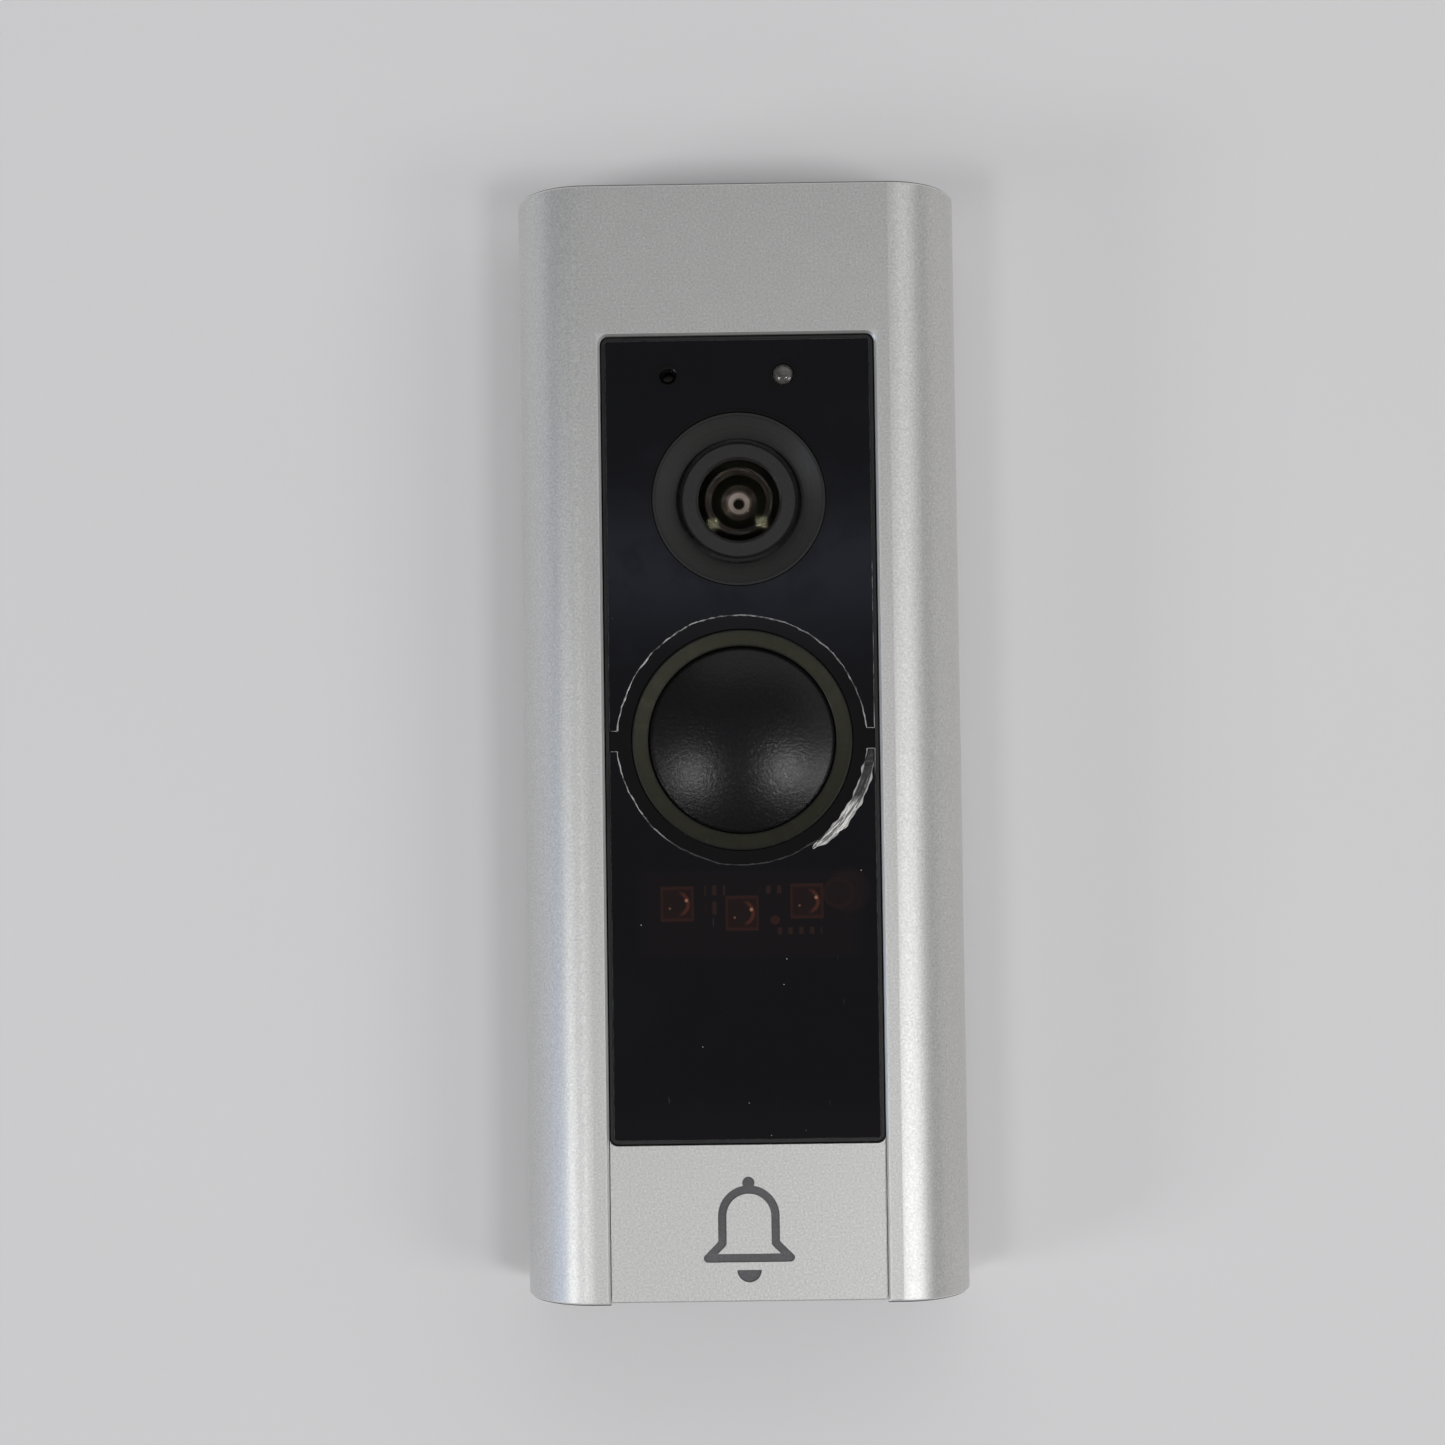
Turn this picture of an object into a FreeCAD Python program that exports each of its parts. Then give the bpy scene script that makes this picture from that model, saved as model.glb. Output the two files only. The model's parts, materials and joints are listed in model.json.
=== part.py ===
"""A wired video doorbell: a slim upright box that screws to a wall beside a door.

The frame: +Z is up, +X is to the right as a visitor sees it, and -Y is towards the visitor. The wall is the
plane y = 0, and the origin is the middle of the doorbell's back, so every depth below is negative. Lengths are
in millimetres.

The doorbell is a sealed body, which stays on the wall, and a cover, which slides off it towards the visitor:
- the cover is an aluminium channel with arched sides, a chin plate below its window, and a plastic liner that
  closes its ends and carries spring clips and a captive security screw;
- the body is a rear and a front housing, screwed together from behind over a gasket, with a dark window panel,
  the camera, the light ring and the domed call button on its front;
- inside are the button's board, the main board, the power board, the camera, a microphone, a light sensor and
  a speaker that fires through slots in the right side;
- two screw terminals for the chime wires sit in a bay in its back, and a small setup button is on the right
  side of the body, under the cover.
"""

import FreeCAD, Part
import math
import os

Vector = FreeCAD.Vector
X_AXIS, Y_AXIS, Z_AXIS = Vector(1, 0, 0), Vector(0, 1, 0), Vector(0, 0, 1)
SIDES = (-1, 1)

# ---- driving dimensions --------------------------------------------------------------------------
HEIGHT = 114.3
WIDTH = 46.0
DEPTH = 20.3  # wall to the top of the button's dome
TOP = HEIGHT / 2
BOTTOM = -TOP

# cover
FACE_Y = -19.8  # the cover's flat front
COVER_REAR_Y = -3.0
COVER_WALL = 1.2
SIDE_ARCH_WIDTH = 7.4  # each side is a quarter of an ellipse, this wide and this deep
SIDE_ARCH_DEPTH = 12.0
COVER_HALF_FLAT = WIDTH / 2 - SIDE_ARCH_WIDTH
COVER_EDGE_CHAMFER = 0.25
LINER_GAP = 0.08
LINER_WALL = 1.4
LINER_RECESS = 0.5  # the end walls sit this far inside the channel's ends
RAIL_X = 21.0

# window opening in the cover, and the chin plate that closes its bottom
OPENING_WIDTH = 28.1
OPENING_TOP = 41.5
OPENING_BOTTOM = -41.1
OPENING_RADIUS = 0.9
OPENING_HEIGHT = OPENING_TOP - OPENING_BOTTOM
OPENING_MID_Z = (OPENING_TOP + OPENING_BOTTOM) / 2
CHIN_GAP = 0.07
CHIN_BOTTOM = BOTTOM + 0.27
MARK_Z = -49.4
MARK_STROKE = 0.85
MARK_DEPTH = 0.35
INLAY_THICKNESS = 0.1

# body
BODY_TOP, BODY_BOTTOM = 54.8, -51.6
BODY_HALF_WIDTH = 20.2
BODY_FRONT_Y = -17.3
BODY_HALF_FLAT = 14.9
BODY_ARCH_DEPTH = 8.0
BODY_WALL = 1.5
SPLIT_Y = -9.2
BACK_WALL = 1.8
FLANGE_WIDTH, FLANGE_HEIGHT, FLANGE_DEPTH, FLANGE_RADIUS = 41.0, 112.4, 2.8, 3.0
REAR_WALL = 1.6
GASKET_WIDTH, GASKET_DEPTH = 0.8, 0.6

# wall screw holes
SCREW_HOLE_Z = (49.0, -46.0)
SCREW_HOLE_R = 2.1
SCREW_POCKET_R = 4.0
SCREW_TUBE_R = 5.2
SCREW_COLUMN_R = 4.6
SCREW_COLUMN_Y = -8.0
SCREW_SEAT_Y = -10.4
SCREW_FLOOR_R = 3.8

# window panel on the front housing
PLATEAU_GAP = 0.15
LIP_WIDTH = 0.35
LIP_Y = -19.3
GLASS_FRONT_Y, GLASS_BACK_Y = -19.5, -18.0
GLASS_GAP = 0.05
PLATEAU_Y = -17.8  # the floor that the panel is taped to
FILM_THICKNESS = 0.1
FILM_INSET = 0.55
FILM_RING_R = 12.75
FILM_BRIDGE = 2.1  # the gap between the two films beside the button

# camera
LENS_Z = 24.65
LENS_HOLE_R = 8.95
CONE_R_FRONT, CONE_R_BACK, CONE_BACK_Y = 8.6, 6.45, -17.5
TRIM_R, TRIM_NECK_R, TRIM_BACK_Y = 8.85, 7.3, -16.6
BARREL_FACE_Y, BARREL_FACE_R, BARREL_R, BARREL_BACK_Y = -18.3, 5.97, 5.6, -9.4
LENS_R, LENS_SPHERE_R, LENS_APEX_Y, LENS_BACK_Y = 4.15, 13.5, -18.75, -17.05
LENS_BORE_R = 3.4
IRIS_R = 0.38

# call button and light ring
BUTTON_Z = 0.0
BUTTON_R = 9.48
BUTTON_RIM_Y = -18.6
BUTTON_BACK_Y = -15.9
BUTTON_WALL = 1.4
BUTTON_FLANGE_R, BUTTON_FLANGE_FRONT_Y, BUTTON_FLANGE_BACK_Y = 10.0, -16.8, -15.9
BUTTON_TRAVEL = 0.5
GUIDE_R_IN, GUIDE_R_OUT = 9.62, 11.25
GUIDE_LEG_R_IN, GUIDE_LEG_R_OUT = 10.15, 10.55
GUIDE_STEP_Y, GUIDE_BACK_Y = -16.9, -14.7
RING_HOLE_R = 11.35

# microphone and light sensor behind the panel's top edge
MIC_X, SENSOR_X, PORT_Z = -7.1, 4.7, 37.4
MIC_R, SENSOR_R = 0.6, 1.1

# boards: front and back face of each
FRONT_BOARD_Y = (-14.2, -13.2)
MAIN_BOARD_Y = (-11.2, -10.2)
POWER_BOARD_Y = (-10.6, -9.6)
SENSOR_BOARD_Y = (-13.4, -12.8)
CAMERA_BOARD_Y = (-7.2, -6.4)
STANDOFFS = [(x, z) for x in (-13.5, 13.5) for z in (10.8, -10.5)]
LOW_SCREWS = [(x, -20.3) for x in (-13.5, 13.5)]
POWER_SCREWS = [(-14.8, -17.0), (11.0, -36.0)]
CAMERA_SCREWS = [(-9.0, LENS_Z), (9.0, LENS_Z)]
SENSOR_POSTS = [(-10.0, 39.6), (-10.0, 35.8), (7.2, 39.6)]
HOUSING_SCREWS = [(side * x, z) for side in SIDES for x, z in ((15.5, 50.0), (16.0, 16.0), (15.5, -47.0))]
IR_LEDS = [(-6.85, -16.65), (-0.25, -17.65), (6.35, -16.5)]

# terminals in the back
TERMINAL_X, TERMINAL_Z = 6.5, -30.0
BAY_HALF_WIDTH, BAY_TOP, BAY_BOTTOM = 12.2, -17.4, -35.4
BAY_FLOOR_Y, BAY_FLOOR_THICKNESS, BAY_WALL = -5.0, 1.6, 1.2
TERMINAL_SCREW_R = 1.7

# setup button on the right side
SETUP_Y, SETUP_Z, SETUP_R = -7.4, 4.0, 1.2

# speaker on the right side
SPEAKER_X = (13.4, 17.8)
SPEAKER_Y = (-12.2, -3.2)
SPEAKER_Z = (-37.0, -17.0)

# security screw, which passes up through the liner's bottom wall
SECURITY_Y = -6.4
SECURITY_HEAD = 1.28
SECURITY_SEAT_Z = BOTTOM + LINER_RECESS + 0.1 + SECURITY_HEAD


# ---- shapes that repeat --------------------------------------------------------------------------
def block(xs, ys, zs):
    """A box between two values on each axis."""
    low = Vector(min(xs), min(ys), min(zs))
    high = Vector(max(xs), max(ys), max(zs))
    return Part.makeBox(high.x - low.x, high.y - low.y, high.z - low.z, low)


def rod(radius, ys, x=0.0, z=0.0):
    """A cylinder along Y."""
    return Part.makeCylinder(radius, max(ys) - min(ys), Vector(x, min(ys), z), Y_AXIS)


def tube(outer, inner, ys, x=0.0, z=0.0):
    return rod(outer, ys, x, z).cut(rod(inner, (min(ys) - 1, max(ys) + 1), x, z))


def fused(shapes):
    first, *rest = shapes
    return first.multiFuse(rest).removeSplitter() if rest else first


def parallel_edges(shape, axis):
    """The straight edges of a box that run along an axis."""
    found = []
    for edge in shape.Edges:
        along = edge.Vertexes[-1].Point.sub(edge.Vertexes[0].Point)
        if along.cross(axis).Length < 1e-6:
            found.append(edge)
    return found


def plate(width, zs, radius, ys, x=0.0):
    """A flat plate facing Y, with rounded corners."""
    body = block((x - width / 2, x + width / 2), ys, zs)
    return body.makeFillet(radius, parallel_edges(body, Y_AXIS))


def turned(points, x=0.0, z=0.0):
    """A solid of revolution about a line along Y, from (radius, y) points."""
    corners = [Vector(r, y, 0) for r, y in points]
    face = Part.Face(Part.makePolygon(corners + corners[:1]))
    solid = face.revolve(Vector(0, 0, 0), Y_AXIS, 360)
    solid = Part.Solid(solid.Shells[0]) if solid.ShapeType != "Solid" else solid
    solid.translate(Vector(x, 0, z))
    return solid


def cap_of_sphere(radius, sphere_radius, apex_y, back_y, x=0.0, z=0.0):
    """A round plug whose front is a dome."""
    ball = Part.makeSphere(sphere_radius, Vector(x, apex_y + sphere_radius, z))
    return rod(radius, (apex_y - 1, back_y), x, z).common(ball)


def arched_block(half_flat, arch_width, arch_depth, front_y, back_y, zs):
    """A bar along Z with a flat front and sides that are quarter ellipses, then straight to the back."""
    edge_x, side_y = half_flat + arch_width, front_y + arch_depth
    corners = [Vector(-edge_x, back_y, 0), Vector(-edge_x, side_y, 0), Vector(-half_flat, front_y, 0)]
    corners += [Vector(-p.x, p.y, 0) for p in reversed(corners)]

    def arch(side):
        centre = Vector(side * half_flat, side_y, 0)
        front, flank = Vector(side * half_flat, front_y, 0), Vector(side * edge_x, side_y, 0)
        major, minor = (front, flank) if arch_depth > arch_width else (flank, front)
        return Part.Arc(Part.Ellipse(major, minor, centre), 0, math.pi / 2).toShape()

    back_left, side_left, front_left, front_right, side_right, back_right = corners
    edges = [
        Part.makeLine(back_left, side_left),
        arch(-1),
        Part.makeLine(front_left, front_right),
        arch(1),
        Part.makeLine(side_right, back_right),
        Part.makeLine(back_right, back_left),
    ]
    bar = Part.Face(Part.Wire(Part.__sortEdges__(edges))).extrude(Vector(0, 0, max(zs) - min(zs)))
    bar.translate(Vector(0, 0, min(zs)))
    return bar


def end_edges(bar, zs, back_y):
    """The edges of a bar's two ends, apart from those along its open back."""
    found = []
    for edge in bar.Edges:
        points = [v.Point for v in edge.Vertexes] + [edge.valueAt(sum(edge.ParameterRange) / 2)]
        at_end = any(all(abs(p.z - z) < 1e-6 for p in points) for z in zs)
        if at_end and not all(abs(p.y - back_y) < 1e-6 for p in points):
            found.append(edge)
    return found


def opening_prism(ys, grow=0.0):
    """The window opening, with all four corners rounded."""
    zs = (OPENING_BOTTOM - grow, OPENING_TOP + grow)
    return plate(OPENING_WIDTH + 2 * grow, zs, OPENING_RADIUS + grow, ys)


# ---- cover ---------------------------------------------------------------------------------------
def faceplate_shell():
    height = (BOTTOM, TOP)
    outer = arched_block(COVER_HALF_FLAT, SIDE_ARCH_WIDTH, SIDE_ARCH_DEPTH, FACE_Y, COVER_REAR_Y, height)
    inner = arched_block(
        COVER_HALF_FLAT,
        SIDE_ARCH_WIDTH - COVER_WALL,
        SIDE_ARCH_DEPTH - COVER_WALL,
        FACE_Y + COVER_WALL,
        COVER_REAR_Y + 1,
        (BOTTOM - 1, TOP + 1),
    )
    below = BOTTOM - 5
    slot = plate(OPENING_WIDTH, (below, OPENING_TOP), OPENING_RADIUS, (FACE_Y - 1, 0))
    shell = outer.cut(inner).cut(slot)

    def shows(edge):
        """Outer end edges and the rim of the window slot."""
        middle = edge.valueAt(sum(edge.ParameterRange) / 2)
        on_front = all(abs(v.Point.y - FACE_Y) < 1e-6 for v in edge.Vertexes)
        rim = on_front and abs(middle.x) < OPENING_WIDTH / 2 + 0.01 and middle.z < OPENING_TOP + 0.01
        at_end = abs(abs(middle.z) - TOP) < 1e-6
        half_inner = COVER_HALF_FLAT + SIDE_ARCH_WIDTH - COVER_WALL
        outside = abs(middle.y - FACE_Y) < 1e-6 or abs(middle.x) > half_inner + 0.3
        elliptic = edge.Curve.TypeId == "Part::GeomEllipse"
        arch = at_end and elliptic and edge.Curve.MajorRadius > SIDE_ARCH_DEPTH - 0.1
        flat = at_end and outside and abs(middle.y - COVER_REAR_Y) > 1e-6 and not elliptic
        return rim or arch or flat

    return shell.makeChamfer(COVER_EDGE_CHAMFER, [e for e in shell.Edges if shows(e)])


def mark_prism(ys):
    """A plain bell outline with a clapper, drawn in strokes."""
    half, shoulder_z, skirt_z, base_z = 2.7, MARK_Z + 1.1, MARK_Z - 1.6, MARK_Z - 3.1
    flare = 1.5
    left = [Vector(-half, 0, shoulder_z), Vector(-half, 0, skirt_z), Vector(-half - flare, 0, base_z)]
    right = [Vector(-p.x, 0, p.z) for p in reversed(left)]
    crown = Part.Arc(right[-1], Vector(0, 0, shoulder_z + half), left[0]).toShape()
    outline = [Part.makeLine(a, b) for a, b in zip(left, left[1:])]
    outline += [Part.makeLine(left[-1], right[0])]
    outline += [Part.makeLine(a, b) for a, b in zip(right, right[1:])] + [crown]
    wire = Part.Wire(Part.__sortEdges__(outline))
    outside = Part.Face(wire.makeOffset2D(MARK_STROKE / 2))
    inside = Part.Face(wire.makeOffset2D(-MARK_STROKE / 2))
    depth = Vector(0, max(ys) - min(ys), 0)
    bell = outside.extrude(depth).cut(inside.extrude(depth))
    bell.translate(Vector(0, min(ys), 0))
    clapper_z = base_z - MARK_STROKE - 0.35
    below = block((-3, 3), ys, (clapper_z - 3, clapper_z))
    clapper = rod(1.25, ys, 0, clapper_z).common(below)
    knob = rod(0.62, ys, 0, shoulder_z + half + MARK_STROKE / 2 + 0.25)
    return fused([bell, knob]), clapper


def chin_plate():
    half = OPENING_WIDTH / 2 - CHIN_GAP
    ys = (FACE_Y, FACE_Y + COVER_WALL)
    body = block((-half, half), ys, (CHIN_BOTTOM, OPENING_BOTTOM + OPENING_RADIUS))
    rim = [
        e
        for e in body.Edges
        if all(abs(v.Point.y - FACE_Y) < 1e-6 for v in e.Vertexes)
        and not all(v.Point.z > OPENING_BOTTOM for v in e.Vertexes)
    ]
    body = body.makeChamfer(0.12, rim).cut(opening_prism((FACE_Y - 1, 0)))
    for stroke in mark_prism((FACE_Y - 0.5, FACE_Y + MARK_DEPTH)):
        body = body.cut(stroke)
    return body


def chin_mark_inlay():
    floor = FACE_Y + MARK_DEPTH
    return Part.makeCompound(list(mark_prism((floor - INLAY_THICKNESS, floor))))


def liner_slice(zs):
    """A slab that fills the channel's inside, with a small gap for glue."""
    return arched_block(
        COVER_HALF_FLAT,
        SIDE_ARCH_WIDTH - COVER_WALL - LINER_GAP,
        SIDE_ARCH_DEPTH - COVER_WALL - LINER_GAP,
        FACE_Y + COVER_WALL + LINER_GAP,
        COVER_REAR_Y - LINER_GAP,
        zs,
    )


def faceplate_liner():
    top_wall = (TOP - LINER_RECESS - LINER_WALL, TOP - LINER_RECESS)
    bottom_wall = (BOTTOM + LINER_RECESS, BOTTOM + LINER_RECESS + LINER_WALL)
    inner_side = WIDTH / 2 - COVER_WALL - LINER_GAP
    boss_top = BODY_BOTTOM - 0.3
    pieces = [liner_slice(top_wall), liner_slice(bottom_wall)]
    for side in SIDES:
        pieces.append(block((side * RAIL_X, side * inner_side), (-8.6, -3.1), (bottom_wall[0], top_wall[1])))
    bridge_y = (FACE_Y + COVER_WALL + LINER_GAP, FACE_Y + COVER_WALL + 1.0)
    pieces.append(block((-15.4, 15.4), bridge_y, (bottom_wall[0], OPENING_BOTTOM - 0.8)))
    pieces.append(Part.makeCylinder(2.9, boss_top - bottom_wall[0], Vector(0, SECURITY_Y, bottom_wall[0])))
    liner = fused(pieces)
    liner = liner.cut(Part.makeCylinder(2.2, 3.6, Vector(0, SECURITY_Y, bottom_wall[0] - 0.01)))
    liner = liner.cut(Part.makeCylinder(1.08, 10, Vector(0, SECURITY_Y, bottom_wall[0])))
    for side in SIDES:
        slot_z = (bottom_wall[0] - 1, bottom_wall[1] + 0.5)
        liner = liner.cut(block((side * 8, side * 13), (-14.6, -13.2), slot_z))
    return liner


def cover_clips():
    """Four bowed leaf springs on the rails, which grip the body's sides."""
    thickness, half_length = 0.2, 4.0
    bow = [(RAIL_X, -8.3), (RAIL_X, -7.6), (20.62, -6.6), (20.62, -5.0), (RAIL_X, -4.0), (RAIL_X, -3.4)]
    inner = [(x - thickness, y) for x, y in bow]
    inner[0], inner[-1] = (RAIL_X - thickness, bow[0][1]), (RAIL_X - thickness, bow[-1][1])
    leaves = []
    for side in SIDES:
        for z in (-38.0, 36.0):
            corners = [Vector(side * x, y, z - half_length) for x, y in bow + inner[::-1]]
            face = Part.Face(Part.makePolygon(corners + corners[:1]))
            leaves.append(face.extrude(Vector(0, 0, 2 * half_length)))
    return Part.makeCompound(leaves)


def security_washer():
    low = SECURITY_SEAT_Z + 0.02
    ring = Part.makeCylinder(2.1, 0.4, Vector(0, SECURITY_Y, low))
    return ring.cut(Part.makeCylinder(1.05, 2, Vector(0, SECURITY_Y, low - 1)))


def security_screw():
    """Pan head down with a hexagonal socket, backed out so that its tip is just clear of the body."""
    head_low = SECURITY_SEAT_Z - SECURITY_HEAD
    head = Part.makeCylinder(2.0, SECURITY_HEAD, Vector(0, SECURITY_Y, head_low))
    length = BODY_BOTTOM - 0.07 - SECURITY_SEAT_Z
    shank = Part.makeCylinder(1.0, length, Vector(0, SECURITY_Y, SECURITY_SEAT_Z))
    socket = hexagon(0.85, Vector(0, SECURITY_Y, head_low - 0.1), Vector(0, 0, 0.9))
    return head.fuse(shank).removeSplitter().cut(socket)


def hexagon(radius, centre, rise):
    """A hexagonal prism that starts at centre and runs along rise, which is along Y or Z."""
    ahead = Vector(rise).normalize()
    across = X_AXIS
    beside = ahead.cross(across)
    corners = []
    for k in range(6):
        turn = math.radians(60 * k)
        corners.append(centre + across * (radius * math.cos(turn)) + beside * (radius * math.sin(turn)))
    return Part.Face(Part.makePolygon(corners + corners[:1])).extrude(rise)


# ---- housings ------------------------------------------------------------------------------------
def front_housing():
    arch_width = BODY_HALF_WIDTH - BODY_HALF_FLAT
    ends = (BODY_BOTTOM, BODY_TOP)
    outer = arched_block(BODY_HALF_FLAT, arch_width, BODY_ARCH_DEPTH, BODY_FRONT_Y, SPLIT_Y, ends)
    outer = outer.makeFillet(0.8, end_edges(outer, ends, SPLIT_Y))
    inner = arched_block(
        BODY_HALF_FLAT - 0.9,
        arch_width - 0.6,
        BODY_ARCH_DEPTH - BODY_WALL,
        BODY_FRONT_Y + BODY_WALL,
        SPLIT_Y + 1,
        (BODY_BOTTOM + BODY_WALL, BODY_TOP - BODY_WALL),
    )
    inside_y = BODY_FRONT_Y + BODY_WALL
    bosses = [rod(2.6, (inside_y - 0.5, SPLIT_Y), x, z) for x, z in HOUSING_SCREWS]
    bosses += [rod(1.8, (inside_y - 0.5, FRONT_BOARD_Y[0]), x, z) for x, z in STANDOFFS + LOW_SCREWS]
    bosses += [rod(1.7, (inside_y - 0.5, -12.6), x, z) for x, z in CAMERA_SCREWS]
    bosses += [rod(1.1, (inside_y - 0.5, SENSOR_BOARD_Y[0]), x, z) for x, z in SENSOR_POSTS]
    bosses += [rod(SCREW_TUBE_R, (BODY_FRONT_Y, SPLIT_Y), 0, z) for z in SCREW_HOLE_Z]
    body = outer.cut(inner).fuse([b.common(outer) for b in bosses])
    body = body.fuse([rod(SCREW_FLOOR_R, (SPLIT_Y, SCREW_COLUMN_Y), 0, z) for z in SCREW_HOLE_Z])

    # the plateau that fills the cover's window, with a lip round the glass
    body = body.fuse(opening_prism((LIP_Y, BODY_FRONT_Y + 0.2), -PLATEAU_GAP)).removeSplitter()
    body = body.cut(opening_prism((LIP_Y - 1, PLATEAU_Y), -PLATEAU_GAP - LIP_WIDTH))

    # openings for the camera, light ring, infrared lamps, microphone and light pipe
    through = (LIP_Y, inside_y + 0.6)
    holes = [rod(TRIM_NECK_R + 0.1, through, 0, LENS_Z), rod(GUIDE_LEG_R_OUT + 0.1, through, 0, BUTTON_Z)]
    holes += [rod(0.8, through, MIC_X, PORT_Z), rod(SENSOR_R, through, SENSOR_X, PORT_Z)]
    holes += [plate(23.0, (-21.6, -13.4), 1.0, through, x=-0.8)]

    # wall screws, housing screws and board screws
    for z in SCREW_HOLE_Z:
        holes.append(rod(SCREW_POCKET_R, (BODY_FRONT_Y - 1, SCREW_SEAT_Y), 0, z))
        holes.append(rod(SCREW_HOLE_R, (-20, 0), 0, z))
    holes += [rod(1.05, (-14.2, SPLIT_Y + 1), x, z) for x, z in HOUSING_SCREWS]
    holes += [rod(0.85, (-15.9, -11), x, z) for x, z in STANDOFFS + LOW_SCREWS]
    holes += [rod(0.85, (-15.4, -11), x, z) for x, z in CAMERA_SCREWS]
    for hole in holes:
        body = body.cut(hole)
    return body.cut(gasket_ring(SPLIT_Y - GASKET_DEPTH, SPLIT_Y + 0.5, 0.03))


def gasket_ring(front_y, back_y, gap=0.0):
    middle = BODY_HALF_WIDTH - BODY_WALL / 2
    low, high = BODY_BOTTOM + BODY_WALL / 2, BODY_TOP - BODY_WALL / 2
    reach = GASKET_WIDTH / 2 + gap
    outer = plate(2 * (middle + reach), (low - reach, high + reach), 1.0, (front_y, back_y))
    inner = plate(2 * (middle - reach), (low + reach, high - reach), 0.6, (front_y - 1, back_y + 1))
    return outer.cut(inner)


def housing_gasket():
    return gasket_ring(SPLIT_Y - GASKET_DEPTH, SPLIT_Y)


def rear_housing():
    flange = plate(FLANGE_WIDTH, (-FLANGE_HEIGHT / 2, FLANGE_HEIGHT / 2), FLANGE_RADIUS, (-FLANGE_DEPTH, 0))
    rim = [e for e in flange.Edges if all(abs(v.Point.y + FLANGE_DEPTH) < 1e-6 for v in e.Vertexes)]
    flange = flange.makeChamfer(0.5, rim)
    walls = plate(2 * BODY_HALF_WIDTH, (BODY_BOTTOM, BODY_TOP), 1.0, (SPLIT_Y, -1.0))
    half = BODY_HALF_WIDTH - REAR_WALL
    cavity = plate(2 * half, (BODY_BOTTOM + REAR_WALL, BODY_TOP - REAR_WALL), 0.8, (SPLIT_Y - 1, -BACK_WALL))
    body = flange.fuse(walls).removeSplitter().cut(cavity)

    # solid features inside: wall screw columns, housing screw bosses, the terminal bay and board posts
    bay_floor = BAY_FLOOR_Y - BAY_FLOOR_THICKNESS
    bay_half = BAY_HALF_WIDTH + BAY_WALL
    solids = [rod(SCREW_COLUMN_R, (SCREW_COLUMN_Y, -1), 0, z) for z in SCREW_HOLE_Z]
    solids += [rod(2.9, (SPLIT_Y, -1), x, z) for x, z in HOUSING_SCREWS]
    solids += [rod(1.8, (POWER_BOARD_Y[1], -1), x, z) for x, z in POWER_SCREWS]
    solids += [block((13.0, 17.8), (SPEAKER_Y[1], -1), (z, z + 1.0)) for z in (-33.0, -22.0)]
    solids += [block((-bay_half, bay_half), (bay_floor, -1), (BAY_BOTTOM - BAY_WALL, BAY_TOP + BAY_WALL))]
    limits = plate(2 * BODY_HALF_WIDTH, (BODY_BOTTOM, BODY_TOP), 1.0, (SPLIT_Y, 0))
    body = body.fuse([s.common(limits) for s in solids]).removeSplitter()

    # the bay for the chime wires, with a barrier between the two screws
    bay = plate(2 * BAY_HALF_WIDTH, (BAY_BOTTOM, BAY_TOP), 1.5, (BAY_FLOOR_Y, 1))
    bay = bay.cut(block((-0.7, 0.7), (BAY_FLOOR_Y - 1, -0.4), (BAY_BOTTOM - 1, TERMINAL_Z + 4.8)))
    body = body.cut(bay)

    holes = [rod(TERMINAL_SCREW_R + 0.15, (-9, 0), side * TERMINAL_X, TERMINAL_Z) for side in SIDES]
    holes += [rod(SCREW_HOLE_R, (-10, 1), 0, z) for z in SCREW_HOLE_Z]
    for x, z in HOUSING_SCREWS:
        holes += [rod(2.4, (-1.7, 1), x, z), rod(1.15, (-12, 0), x, z)]
    holes += [rod(0.85, (POWER_BOARD_Y[1] - 1, -4.5), x, z) for x, z in POWER_SCREWS]
    holes += [plate(27.0, (7.0, 33.0), 1.5, (-0.2, 1))]
    side_x = BODY_HALF_WIDTH - REAR_WALL - 1
    holes += [Part.makeCylinder(SETUP_R + 0.12, 4, Vector(side_x, SETUP_Y, SETUP_Z), X_AXIS)]
    for k in range(6):
        middle = SPEAKER_Z[0] + 3.0 + 2.8 * k
        holes += [block((side_x, BODY_HALF_WIDTH + 1), (-6.6, -3.6), (middle - 0.7, middle + 0.7))]
    holes += [Part.makeCylinder(1.08, 2.8, Vector(0, SECURITY_Y, BODY_BOTTOM - 0.1))]
    for hole in holes:
        body = body.cut(hole)

    # shallow moulded grooves across the back, clear of the label, bay and screw holes
    for z in (-40.0, -12.5, 38.5):
        body = body.cut(plate(30.0, (z - 0.5, z + 0.5), 0.45, (-0.35, 1)))
    return body


def rear_label():
    return plate(26.8, (7.1, 32.9), 1.4, (-0.2, -0.05))


def housing_screws():
    screws = []
    for x, z in HOUSING_SCREWS:
        head = rod(2.1, (-1.7, -0.35), x, z).cut(cross_recess(x, z, -0.35, -1))
        screws.append(head.fuse(rod(1.0, (-13.6, -1.7), x, z)).removeSplitter())
    return Part.makeCompound(screws)


def cross_recess(x, z, face_y, inward, reach=1.1, depth=0.7, width=0.36):
    """The cross slot of a screw head whose face is at face_y; inward is the sign of Y into the head."""
    ys = (face_y - inward * 0.2, face_y + inward * depth)
    bars = [block((x - reach, x + reach), ys, (z - width / 2, z + width / 2))]
    bars.append(block((x - width / 2, x + width / 2), ys, (z - reach, z + reach)))
    return bars[0].fuse(bars[1])


# ---- window panel --------------------------------------------------------------------------------
def panel_cuts(ys, spread=0.0):
    """The camera, light ring, microphone and light sensor holes through the panel."""
    return [
        rod(LENS_HOLE_R + spread, ys, 0, LENS_Z),
        rod(RING_HOLE_R + spread, ys, 0, BUTTON_Z),
        rod(MIC_R + spread, ys, MIC_X, PORT_Z),
        rod(SENSOR_R + spread, ys, SENSOR_X, PORT_Z),
    ]


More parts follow.
